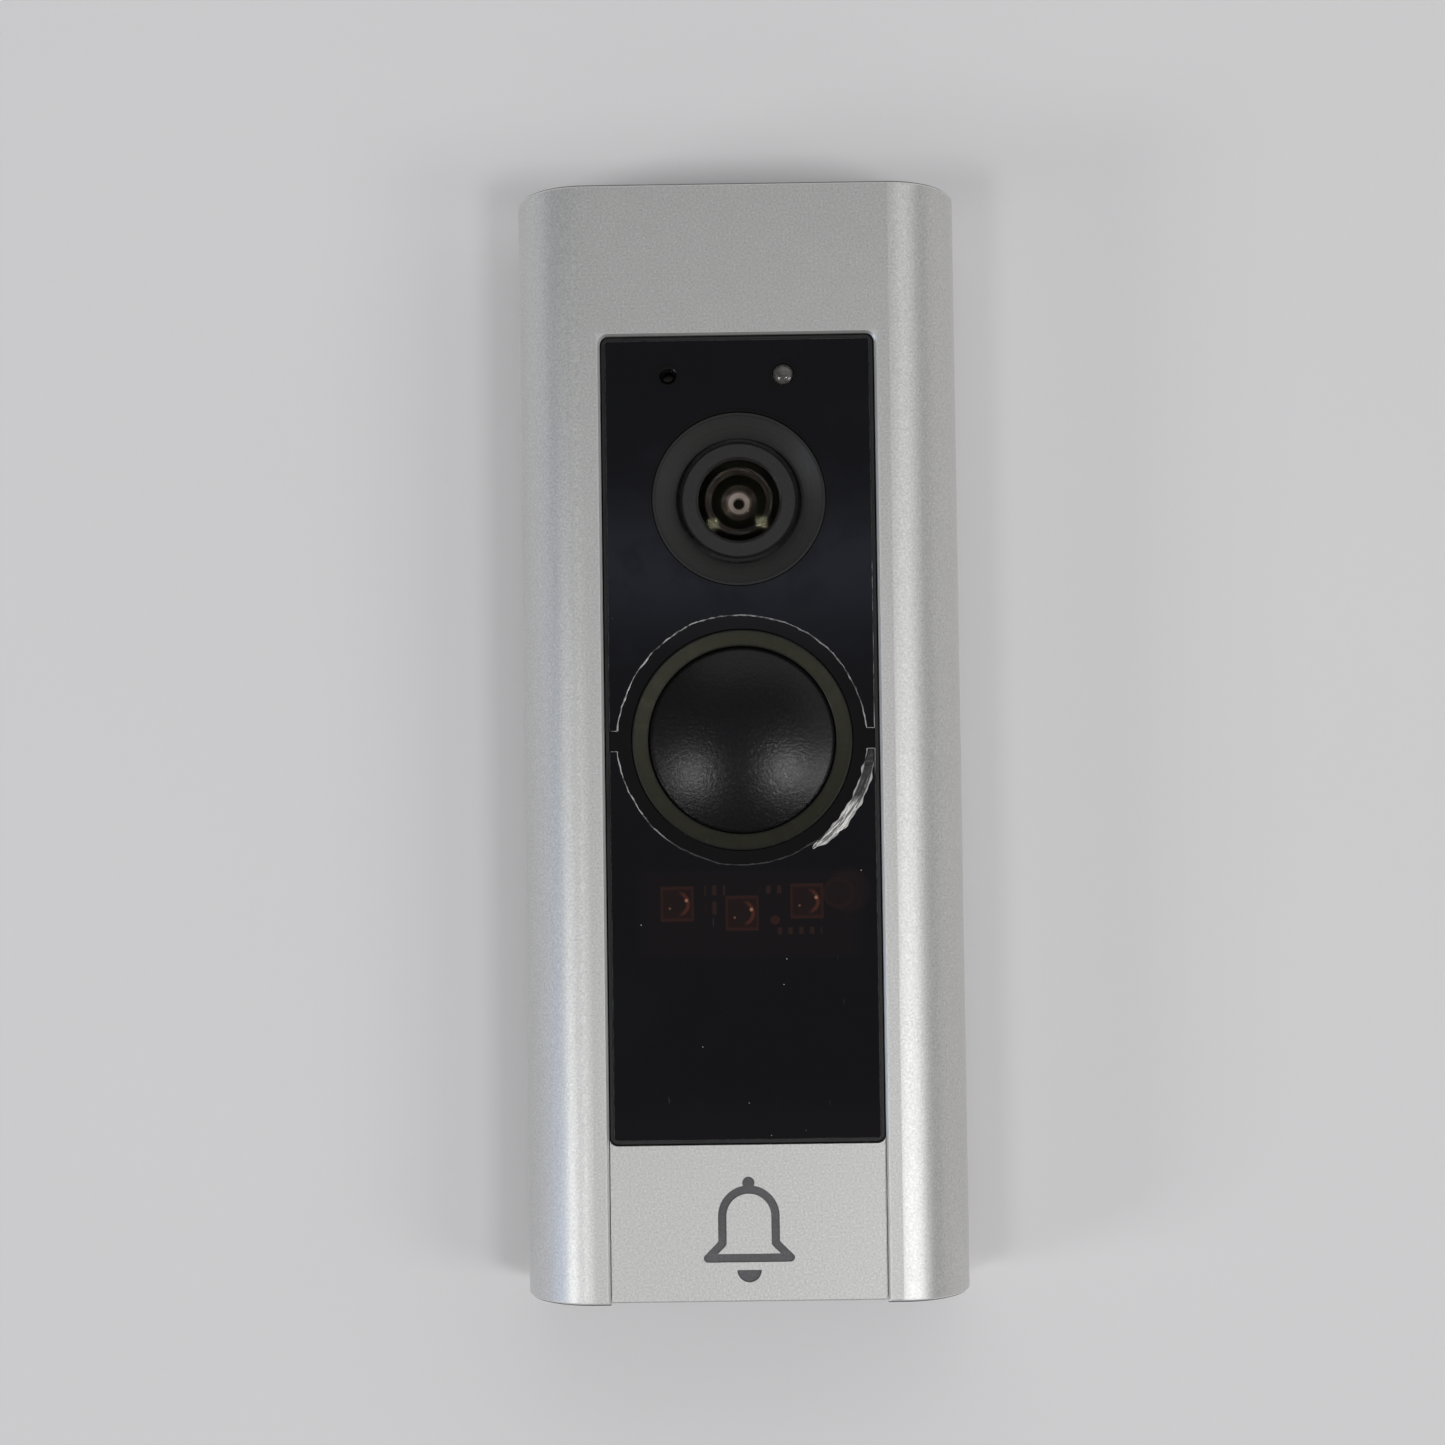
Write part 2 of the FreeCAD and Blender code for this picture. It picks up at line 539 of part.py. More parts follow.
def window_panel():
    panel = opening_prism((GLASS_FRONT_Y, GLASS_BACK_Y), -PLATEAU_GAP - LIP_WIDTH - GLASS_GAP)
    rim = [e for e in panel.Edges if all(abs(v.Point.y - GLASS_FRONT_Y) < 1e-6 for v in e.Vertexes)]
    panel = panel.makeChamfer(0.18, rim)
    for hole in panel_cuts((GLASS_FRONT_Y - 1, GLASS_BACK_Y + 1)):
        panel = panel.cut(hole)
    cone = [(0, GLASS_FRONT_Y - 0.1), (MIC_R + 0.4, GLASS_FRONT_Y - 0.1), (0, GLASS_FRONT_Y + 0.9)]
    bevel = turned(cone, MIC_X, PORT_Z)
    return panel.cut(bevel)


def window_adhesive():
    ys = (GLASS_BACK_Y, PLATEAU_Y)
    sheet = opening_prism(ys, -PLATEAU_GAP - LIP_WIDTH - GLASS_GAP - 0.3)
    for hole in panel_cuts((GLASS_BACK_Y - 1, PLATEAU_Y + 1), 0.3):
        sheet = sheet.cut(hole)
    return sheet.cut(plate(24.0, (-22.0, -13.0), 1.2, (GLASS_BACK_Y - 1, PLATEAU_Y + 1), x=-0.8))


def film_sheet():
    ys = (GLASS_FRONT_Y - FILM_THICKNESS, GLASS_FRONT_Y)
    cut_ys = (GLASS_FRONT_Y - 1, GLASS_FRONT_Y + 1)
    sheet = opening_prism(ys, -FILM_INSET)
    cuts = [
        rod(FILM_RING_R, cut_ys, 0, BUTTON_Z),
        rod(LENS_HOLE_R + 0.35, cut_ys, 0, LENS_Z),
        rod(1.25, cut_ys, MIC_X, PORT_Z),
        rod(1.5, cut_ys, SENSOR_X, PORT_Z),
        block((-20, 20), cut_ys, (BUTTON_Z - FILM_BRIDGE / 2, BUTTON_Z + FILM_BRIDGE / 2)),
    ]
    for cut in cuts:
        sheet = sheet.cut(cut)
    return sheet


def film_upper():
    return film_sheet().common(block((-20, 20), (-25, -15), (BUTTON_Z, 60)))


def film_lower():
    return film_sheet().common(block((-20, 20), (-25, -15), (-60, BUTTON_Z)))


# ---- camera --------------------------------------------------------------------------------------
def lens_trim():
    front = GLASS_FRONT_Y + 0.05
    outline = [
        (CONE_R_FRONT, front),
        (TRIM_R, front),
        (TRIM_R, PLATEAU_Y),
        (TRIM_NECK_R, PLATEAU_Y),
        (TRIM_NECK_R, TRIM_BACK_Y),
        (CONE_R_BACK, TRIM_BACK_Y),
        (CONE_R_BACK, CONE_BACK_Y),
    ]
    return turned(outline, 0, LENS_Z)


def lens_barrel():
    bevel = 0.22
    outline = [
        (LENS_R + 0.05, BARREL_FACE_Y + 0.25),
        (LENS_R + 0.3, BARREL_FACE_Y),
        (BARREL_FACE_R - bevel, BARREL_FACE_Y),
        (BARREL_FACE_R, BARREL_FACE_Y + bevel),
        (BARREL_FACE_R, BARREL_FACE_Y + 1.1),
        (BARREL_R, BARREL_FACE_Y + 1.1),
        (BARREL_R, BARREL_BACK_Y),
        (LENS_BORE_R, BARREL_BACK_Y),
        (LENS_BORE_R, LENS_BACK_Y),
        (LENS_R + 0.05, LENS_BACK_Y),
    ]
    return turned(outline, 0, LENS_Z)


def lens_front_glass():
    return cap_of_sphere(LENS_R, LENS_SPHERE_R, LENS_APEX_Y, LENS_BACK_Y, 0, LENS_Z)


def lens_inner_glass():
    return cap_of_sphere(2.6, 4.2, -16.4, -15.3, 0, LENS_Z)


def lens_stop():
    """A stepped black ring that holds the inner glass, with the iris hole at its bottom."""
    radius = LENS_BORE_R - 0.03
    outline = [
        (3.1, -16.9), (radius, -16.9), (radius, -14.0), (IRIS_R, -14.0),
        (IRIS_R, -14.4), (1.6, -15.3), (2.65, -15.3), (2.65, -16.2),
    ]
    return turned(outline, 0, LENS_Z)


def lens_seal():
    return tube(TRIM_NECK_R - 0.1, BARREL_R + 0.05, (TRIM_BACK_Y + 0.05, -15.05), 0, LENS_Z)


def lens_holder():
    square = block((-6.5, 6.5), (-12.6, CAMERA_BOARD_Y[0]), (LENS_Z - 6.5, LENS_Z + 6.5))
    ears = block((-10.6, 10.6), (-12.6, -11.6), (LENS_Z - 2.2, LENS_Z + 2.2))
    body = fused([square, ears, rod(6.6, (-15.0, -12.0), 0, LENS_Z)])
    body = body.cut(rod(BARREL_R + 0.05, (-16, -9.0), 0, LENS_Z))
    body = body.cut(block((-4.7, 4.7), (-9.0, -6), (LENS_Z - 4.7, LENS_Z + 4.7)))
    for x, z in CAMERA_SCREWS:
        body = body.cut(rod(0.95, (-14, -11), x, z))
    return body


def image_sensor():
    return block((-3.2, 3.2), (CAMERA_BOARD_Y[0] - 0.7, CAMERA_BOARD_Y[0]), (LENS_Z - 2.8, LENS_Z + 2.8))


def camera_board():
    return plate(15.0, (LENS_Z - 9.5, LENS_Z + 7.5), 0.8, CAMERA_BOARD_Y)


# ---- microphone and light sensor -----------------------------------------------------------------
def sensor_board():
    return plate(19.5, (34.6, 41.0), 0.6, SENSOR_BOARD_Y, x=-1.3)


def microphone():
    front = SENSOR_BOARD_Y[0] - 1.0
    can = plate(3.4, (PORT_Z - 1.4, PORT_Z + 1.4), 0.3, (front, SENSOR_BOARD_Y[0]), x=MIC_X)
    return can.cut(rod(0.3, (front - 1, front + 0.3), MIC_X, PORT_Z))


def microphone_gasket():
    return tube(1.9, 0.7, (BODY_FRONT_Y + BODY_WALL, SENSOR_BOARD_Y[0] - 1.0), MIC_X, PORT_Z)


def light_pipe():
    dome = cap_of_sphere(SENSOR_R - 0.06, 2.0, GLASS_FRONT_Y + 0.02, -14.2, SENSOR_X, PORT_Z)
    return dome.fuse(rod(1.7, (-15.75, -15.1), SENSOR_X, PORT_Z)).removeSplitter()


def light_sensor():
    size = 1.1
    ys = (SENSOR_BOARD_Y[0] - 0.6, SENSOR_BOARD_Y[0])
    return block((SENSOR_X - size, SENSOR_X + size), ys, (PORT_Z - size, PORT_Z + size))


# ---- call button ---------------------------------------------------------------------------------
def dome_radius():
    rise = BUTTON_RIM_Y + DEPTH
    return (BUTTON_R**2 + rise**2) / (2 * rise)


def button_cap():
    radius = dome_radius()
    outer = cap_of_sphere(BUTTON_R, radius, -DEPTH, BUTTON_BACK_Y, 0, BUTTON_Z)
    flange = rod(BUTTON_FLANGE_R, (BUTTON_FLANGE_FRONT_Y, BUTTON_FLANGE_BACK_Y), 0, BUTTON_Z)
    inside_r = BUTTON_R - BUTTON_WALL
    hollow = cap_of_sphere(inside_r, radius, -DEPTH + BUTTON_WALL, BUTTON_BACK_Y + 1, 0, BUTTON_Z)
    return outer.fuse(flange).removeSplitter().cut(hollow)


def button_plunger():
    """A spoked disc inside the cap, with a stem that meets the switch."""
    ys = (-17.2, -16.5)
    disc = rod(BUTTON_R - BUTTON_WALL - 0.05, ys, 0, BUTTON_Z)
    for k in range(6):
        turn = math.radians(60 * k + 30)
        disc = disc.cut(rod(1.7, (-18, -16), 5.4 * math.cos(turn), BUTTON_Z + 5.4 * math.sin(turn)))
    return disc.fuse(rod(2.0, (-18.8, -16.25), 0, BUTTON_Z)).removeSplitter()


def switch_actuator():
    return rod(1.5, (-16.25, -15.2), 0, BUTTON_Z)


def switch_body():
    ys = (-15.6, FRONT_BOARD_Y[0])
    body = plate(6.2, (BUTTON_Z - 3.1, BUTTON_Z + 3.1), 0.5, ys)
    return body.cut(rod(1.6, (-16, -14.6), 0, BUTTON_Z))


def button_seal():
    """A silicone ring that seals the button and pushes it back out."""
    front, back = BUTTON_FLANGE_BACK_Y + 0.02, FRONT_BOARD_Y[0]
    outline = [(8.0, back), (9.7, back), (9.7, back - 0.5), (9.2, front), (8.6, front), (9.1, back - 0.5)]
    return turned(outline, 0, BUTTON_Z)


def light_guide_ring():
    outline = [
        (GUIDE_R_IN, -19.12),
        (GUIDE_R_IN + 0.12, -19.2),
        (GUIDE_R_OUT - 0.15, -19.42),
        (GUIDE_R_OUT, -19.35),
        (GUIDE_R_OUT, PLATEAU_Y),
        (GUIDE_LEG_R_OUT, PLATEAU_Y),
        (GUIDE_LEG_R_OUT, GUIDE_BACK_Y),
        (GUIDE_LEG_R_IN, GUIDE_BACK_Y),
        (GUIDE_LEG_R_IN, GUIDE_STEP_Y),
        (GUIDE_R_IN, GUIDE_STEP_Y),
    ]
    return turned(outline, 0, BUTTON_Z)


def ring_leds():
    ys = (FRONT_BOARD_Y[0] - 0.4, FRONT_BOARD_Y[0])
    middle_r = (GUIDE_LEG_R_IN + GUIDE_LEG_R_OUT) / 2
    leds = []
    for k in range(8):
        turn = math.radians(45 * k + 22.5)
        x, z = middle_r * math.cos(turn), BUTTON_Z + middle_r * math.sin(turn)
        leds.append(block((x - 0.4, x + 0.4), ys, (z - 0.4, z + 0.4)))
    return Part.makeCompound(leds)


# ---- boards --------------------------------------------------------------------------------------
def front_board():
    board = plate(31.0, (-22.0, 12.5), 1.0, FRONT_BOARD_Y)
    for x, z in STANDOFFS + LOW_SCREWS:
        board = board.cut(rod(0.95, (-16, -12), x, z))
    return board


def ir_leds():
    """Square lamp packages, each with a low round lens."""
    front = FRONT_BOARD_Y[0]
    lamps = []
    for x, z in IR_LEDS:
        base = plate(3.5, (z - 1.85, z + 1.85), 0.2, (front - 1.2, front), x=x)
        lens = cap_of_sphere(1.35, 1.9, front - 1.95, front - 1.1, x, z)
        lamps.append(base.fuse(lens).removeSplitter())
    return Part.makeCompound(lamps)


def front_board_chips():
    """Small parts in rows between and beside the infrared lamps."""
    front = FRONT_BOARD_Y[0]
    chips = []
    for x in (-4.4, -3.0, 2.3, 3.7):
        for k in range(4 if x < 0 else 2):
            z = -15.3 - 1.35 * k
            chips.append(block((x - 0.45, x + 0.45), (front - 0.35, front), (z - 0.27, z + 0.27)))
    for k in range(7):
        x = 1.6 + 1.1 * k
        chips.append(block((x - 0.3, x + 0.3), (front - 0.25, front), (-20.9, -20.4)))
    chips.append(rod(0.75, (front - 0.3, front), 3.1, -18.6))
    chips = [c for c in chips if c.BoundBox.ZMin > -21.2]
    return Part.makeCompound(chips)


def main_board():
    board = plate(34.6, (-12.5, 13.3), 0.8, MAIN_BOARD_Y)
    for x, z in STANDOFFS:
        board = board.cut(rod(0.95, (-12, -9), x, z))
    return board


def processor_shield():
    return plate(12.0, (-9.0, 4.0), 0.5, (MAIN_BOARD_Y[0] - 1.6, MAIN_BOARD_Y[0]), x=-5.0)


def wifi_module():
    return plate(11.0, (-4.0, 9.0), 0.5, (MAIN_BOARD_Y[1], MAIN_BOARD_Y[1] + 1.6), x=4.5)


def board_connector():
    return block((-5.0, 5.0), (FRONT_BOARD_Y[1], MAIN_BOARD_Y[0]), (6.4, 9.4))


def board_standoffs():
    standoffs = []
    for x, z in STANDOFFS:
        body = hexagon(1.7, Vector(x, FRONT_BOARD_Y[1], z), Vector(0, MAIN_BOARD_Y[0] - FRONT_BOARD_Y[1], 0))
        stud = rod(0.8, (-15.7, FRONT_BOARD_Y[1]), x, z)
        standoffs.append(body.fuse(stud).removeSplitter().cut(rod(0.8, (-12.4, -11), x, z)))
    return Part.makeCompound(standoffs)


def small_screw(x, z, seat_y, length, towards):
    """A board screw whose head rests on seat_y and whose shank runs along towards, a sign of Y."""
    head = rod(1.5, (seat_y, seat_y - towards * 0.8), x, z)
    head = head.cut(cross_recess(x, z, seat_y - towards * 0.8, towards, 0.8, 0.45, 0.3))
    return head.fuse(rod(0.75, (seat_y, seat_y + towards * length), x, z)).removeSplitter()


def board_screws():
    screws = [small_screw(x, z, MAIN_BOARD_Y[1], 2.1, -1) for x, z in STANDOFFS]
    screws += [small_screw(x, z, FRONT_BOARD_Y[1], 2.4, -1) for x, z in LOW_SCREWS]
    screws += [small_screw(x, z, -11.6, 3.6, -1) for x, z in CAMERA_SCREWS]
    screws += [small_screw(x, z, POWER_BOARD_Y[0], 4.6, 1) for x, z in POWER_SCREWS]
    return Part.makeCompound(screws)


def antenna():
    inside_y = BODY_FRONT_Y + BODY_WALL
    return plate(6.6, (41.8, 52.6), 0.5, (inside_y, inside_y + 0.6), x=9.2)


def power_board():
    board = block((-17.3, 13.1), POWER_BOARD_Y, (-37.8, -14.0))
    for x, z in POWER_SCREWS:
        board = board.cut(rod(0.95, (-12, -8), x, z))
    return board


def power_inductor():
    front = POWER_BOARD_Y[0]
    flanges = [rod(4.8, ys, -9.5, -31.0) for ys in ((front - 0.8, front), (front - 4.0, front - 3.2))]
    return fused(flanges + [rod(3.9, (front - 4.0, front), -9.5, -31.0)])


def power_capacitors():
    front = POWER_BOARD_Y[0]
    cans = []
    for x, z in ((1.5, -27.0), (8.6, -27.0)):
        can = rod(3.15, (front - 4.4, front - 0.4), x, z)
        base = block((x - 3.3, x + 3.3), (front - 0.4, front), (z - 3.3, z + 3.3))
        cans.append(can.fuse(base).removeSplitter())
    return Part.makeCompound(cans)


# ---- terminals -----------------------------------------------------------------------------------
def terminal_inserts():
    """Brass nuts from the bay's floor to the power board."""
    length = BAY_FLOOR_Y - BAY_FLOOR_THICKNESS - POWER_BOARD_Y[1]
    nuts = []
    for side in SIDES:
        start = Vector(side * TERMINAL_X, POWER_BOARD_Y[1], TERMINAL_Z)
        nut = hexagon(3.1, start, Vector(0, length, 0))
        nuts.append(nut.cut(rod(TERMINAL_SCREW_R + 0.05, (-9.3, 0), side * TERMINAL_X, TERMINAL_Z)))
    return Part.makeCompound(nuts)


def terminal_clamp(side):
    """A square plate with its lower edge turned down, which presses the wire on the bay's floor."""
    x = side * TERMINAL_X
    ys = (BAY_FLOOR_Y + 0.3, BAY_FLOOR_Y + 1.0)
    clamp = plate(8.6, (TERMINAL_Z - 4.0, TERMINAL_Z + 4.2), 0.8, ys, x=x)
    lip = block((x - 3.2, x + 3.2), (BAY_FLOOR_Y + 0.05, ys[1]), (TERMINAL_Z - 4.0, TERMINAL_Z - 3.3))
    clamp = clamp.fuse(lip)
    return clamp.removeSplitter().cut(rod(TERMINAL_SCREW_R + 0.15, (-8, 0), x, TERMINAL_Z))


def terminal_screw(side):
    """A domed head with one slot and a cross, over a plain shank."""
    x = side * TERMINAL_X
    seat, face = BAY_FLOOR_Y + 1.02, BAY_FLOOR_Y + 3.1
    head = rod(3.1, (seat, face), x, TERMINAL_Z)
    rim = [e for e in head.Edges if len(e.Vertexes) == 1 and abs(e.Vertexes[0].Point.y - face) < 1e-6]
    head = head.makeFillet(0.6, rim)
    head = head.cut(cross_recess(x, TERMINAL_Z, face, -1, 1.7, 1.2, 0.6))
    head = head.cut(block((x - 4, x + 4), (face - 0.8, face + 1), (TERMINAL_Z - 0.35, TERMINAL_Z + 0.35)))
    return head.fuse(rod(TERMINAL_SCREW_R, (-9.1, seat), x, TERMINAL_Z)).removeSplitter()


# ---- setup button --------------------------------------------------------------------------------
def peg(radius, xs):
    """A cylinder along X on the setup button's axis."""
    return Part.makeCylinder(radius, max(xs) - min(xs), Vector(min(xs), SETUP_Y, SETUP_Z), X_AXIS)


def setup_button_cap():
    return peg(SETUP_R, (17.5, BODY_HALF_WIDTH + 0.2)).fuse(peg(1.9, (17.9, 18.5))).removeSplitter()


def setup_switch_actuator():
    return peg(0.9, (16.5, 17.5))


def setup_switch_body():
    body = block((13.4, 17.0), (MAIN_BOARD_Y[1], -5.2), (SETUP_Z - 2.4, SETUP_Z + 2.4))
    return body.cut(peg(1.0, (16.0, 18.0)))


# ---- speaker -------------------------------------------------------------------------------------
def racetrack(xs, inset=0.0, radius=3.6):
    """A rounded slab facing X over the speaker's outline."""
    ys = (SPEAKER_Y[0] + inset, SPEAKER_Y[1] - inset)
    zs = (SPEAKER_Z[0] + inset, SPEAKER_Z[1] - inset)
    slab = block(xs, ys, zs)
    return slab.makeFillet(max(radius - inset, 0.5), parallel_edges(slab, X_AXIS))


def speaker_frame():
    back, front = SPEAKER_X
    frame = racetrack((back, front)).cut(racetrack((back + 1.0, front + 1), 1.0))
    return frame.cut(racetrack((back - 1, back + 2), 2.6))


def speaker_cone():
    """The diaphragm, on a driver that fills the frame's back."""
    back, front = SPEAKER_X
    cone = racetrack((front - 1.1, front - 0.8), 1.05)
    driver = racetrack((back, front - 1.1), 2.65)
    return cone.fuse(driver).removeSplitter()


def speaker_gasket():
    front = SPEAKER_X[1]
    wall = BODY_HALF_WIDTH - REAR_WALL
    limits = block((front, wall), (SPLIT_Y, SPEAKER_Y[1]), SPEAKER_Z)
    return racetrack((front, wall)).cut(racetrack((front - 1, wall + 1), 0.9)).common(limits)


NODES = {
    "faceplate_shell": faceplate_shell,
    "chin_plate": chin_plate,
    "chin_mark_inlay": chin_mark_inlay,
    "faceplate_liner": faceplate_liner,
    "cover_clips": cover_clips,
    "security_washer": security_washer,
    "security_screw": security_screw,
    "front_housing": front_housing,
    "rear_housing": rear_housing,
    "housing_gasket": housing_gasket,
    "housing_screws": housing_screws,
    "rear_label": rear_label,
    "window_panel": window_panel,
    "window_adhesive": window_adhesive,
    "film_upper": film_upper,
    "film_lower": film_lower,
    "lens_trim": lens_trim,
    "lens_barrel": lens_barrel,
    "lens_front_glass": lens_front_glass,
    "lens_inner_glass": lens_inner_glass,
    "lens_stop": lens_stop,
    "lens_seal": lens_seal,
    "lens_holder": lens_holder,
    "image_sensor": image_sensor,
    "camera_board": camera_board,
    "sensor_board": sensor_board,
    "microphone": microphone,
    "microphone_gasket": microphone_gasket,
    "light_pipe": light_pipe,
    "light_sensor": light_sensor,
    "button_cap": button_cap,
    "button_plunger": button_plunger,
    "switch_actuator": switch_actuator,
    "switch_body": switch_body,
    "button_seal": button_seal,
    "light_guide_ring": light_guide_ring,
    "ring_leds": ring_leds,
    "front_board": front_board,
    "ir_leds": ir_leds,
    "front_board_chips": front_board_chips,
    "main_board": main_board,
    "processor_shield": processor_shield,
    "wifi_module": wifi_module,
    "board_connector": board_connector,
    "board_standoffs": board_standoffs,
    "board_screws": board_screws,
    "antenna": antenna,
    "power_board": power_board,
    "power_inductor": power_inductor,
    "power_capacitors": power_capacitors,
    "terminal_inserts": terminal_inserts,
    "terminal_clamp_left": lambda: terminal_clamp(-1),
    "terminal_clamp_right": lambda: terminal_clamp(1),
    "terminal_screw_left": lambda: terminal_screw(-1),
    "terminal_screw_right": lambda: terminal_screw(1),
    "setup_button_cap": setup_button_cap,
    "setup_switch_actuator": setup_switch_actuator,
    "setup_switch_body": setup_switch_body,
    "speaker_frame": speaker_frame,
    "speaker_cone": speaker_cone,
}


def main():
    os.makedirs("parts", exist_ok=True)
    for name, make in NODES.items():
        shape = make()
        sound = shape.isValid() and shape.Solids and all(s.isClosed() and s.Volume > 0 for s in shape.Solids)
        print(f"{name}: {len(shape.Solids)} solids, {shape.Volume:.1f} mm3{'' if sound else ' FAULTY'}")
        shape.exportStep(f"parts/{name}.step")


main()
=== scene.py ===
"""The looks of a video doorbell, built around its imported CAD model.

The doorbell stands upright with its window towards -Y. Behind its back is a pale sheet, which is the
surface that it lies on in the main view. Lengths are in metres unless a name ends in _mm or _MM, and the
materials read positions in millimetres.
"""

import json
import math
import random

import bpy
from mathutils import Matrix, Vector

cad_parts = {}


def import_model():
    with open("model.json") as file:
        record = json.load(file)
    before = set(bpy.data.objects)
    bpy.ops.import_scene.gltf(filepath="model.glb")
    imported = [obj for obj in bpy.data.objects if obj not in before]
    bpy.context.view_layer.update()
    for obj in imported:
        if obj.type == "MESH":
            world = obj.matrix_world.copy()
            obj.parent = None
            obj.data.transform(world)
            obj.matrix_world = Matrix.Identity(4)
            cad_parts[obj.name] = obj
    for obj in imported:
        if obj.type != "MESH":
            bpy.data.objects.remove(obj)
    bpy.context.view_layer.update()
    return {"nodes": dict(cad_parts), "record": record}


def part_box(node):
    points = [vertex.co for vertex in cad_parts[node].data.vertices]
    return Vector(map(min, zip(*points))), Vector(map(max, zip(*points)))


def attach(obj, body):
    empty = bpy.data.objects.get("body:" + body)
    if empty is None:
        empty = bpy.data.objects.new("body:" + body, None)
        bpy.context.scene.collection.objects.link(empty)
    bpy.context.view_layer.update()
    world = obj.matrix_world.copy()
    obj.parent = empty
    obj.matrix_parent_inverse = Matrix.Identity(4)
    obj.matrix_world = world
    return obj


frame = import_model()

NODES = frame["nodes"]
MM = 0.001

# the cover: its half height, the plane of its flat front, and the slot that the window fills
HALF_HEIGHT_MM = 57.15
FACE_MM = -19.8
OPENING_HALF_MM, OPENING_TOP_MM, OPENING_BOTTOM_MM = 14.05, 41.5, -41.1

# the clear film: its front plane, the radius of its cut round the button, the gap between its two
# sheets, and how far its edges sit inside the slot
FILM_MM = -19.6
FILM_RING_MM, FILM_BRIDGE_MM, FILM_INSET_MM = 12.75, 2.1, 0.55

# (x, z) of the infrared lamps that show through the window, and the centre of the painted glint on the clear
# pipe in its hole
IR_LAMPS_MM = ((-6.85, -16.65), (-0.25, -17.65), (6.35, -16.5))
PIPE_GLINT_MM = (4.9, 37.65)
# small parts between the lamps: x, z, half width, half height
CHIPS_MM = (
    (-3.0, -15.3, 1.0, 0.45),
    (-3.1, -17.1, 0.8, 0.6),
    (2.9, -15.3, 1.3, 0.35),
    (5.6, -19.5, 2.2, 0.3),
)

WHITE = (1.0, 1.0, 1.0)


def middle_z_mm(node):
    low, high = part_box(node)
    return (low.z + high.z) / 2 / MM


LENS_Z_MM, BUTTON_Z_MM = middle_z_mm("lens_barrel"), middle_z_mm("button_cap")


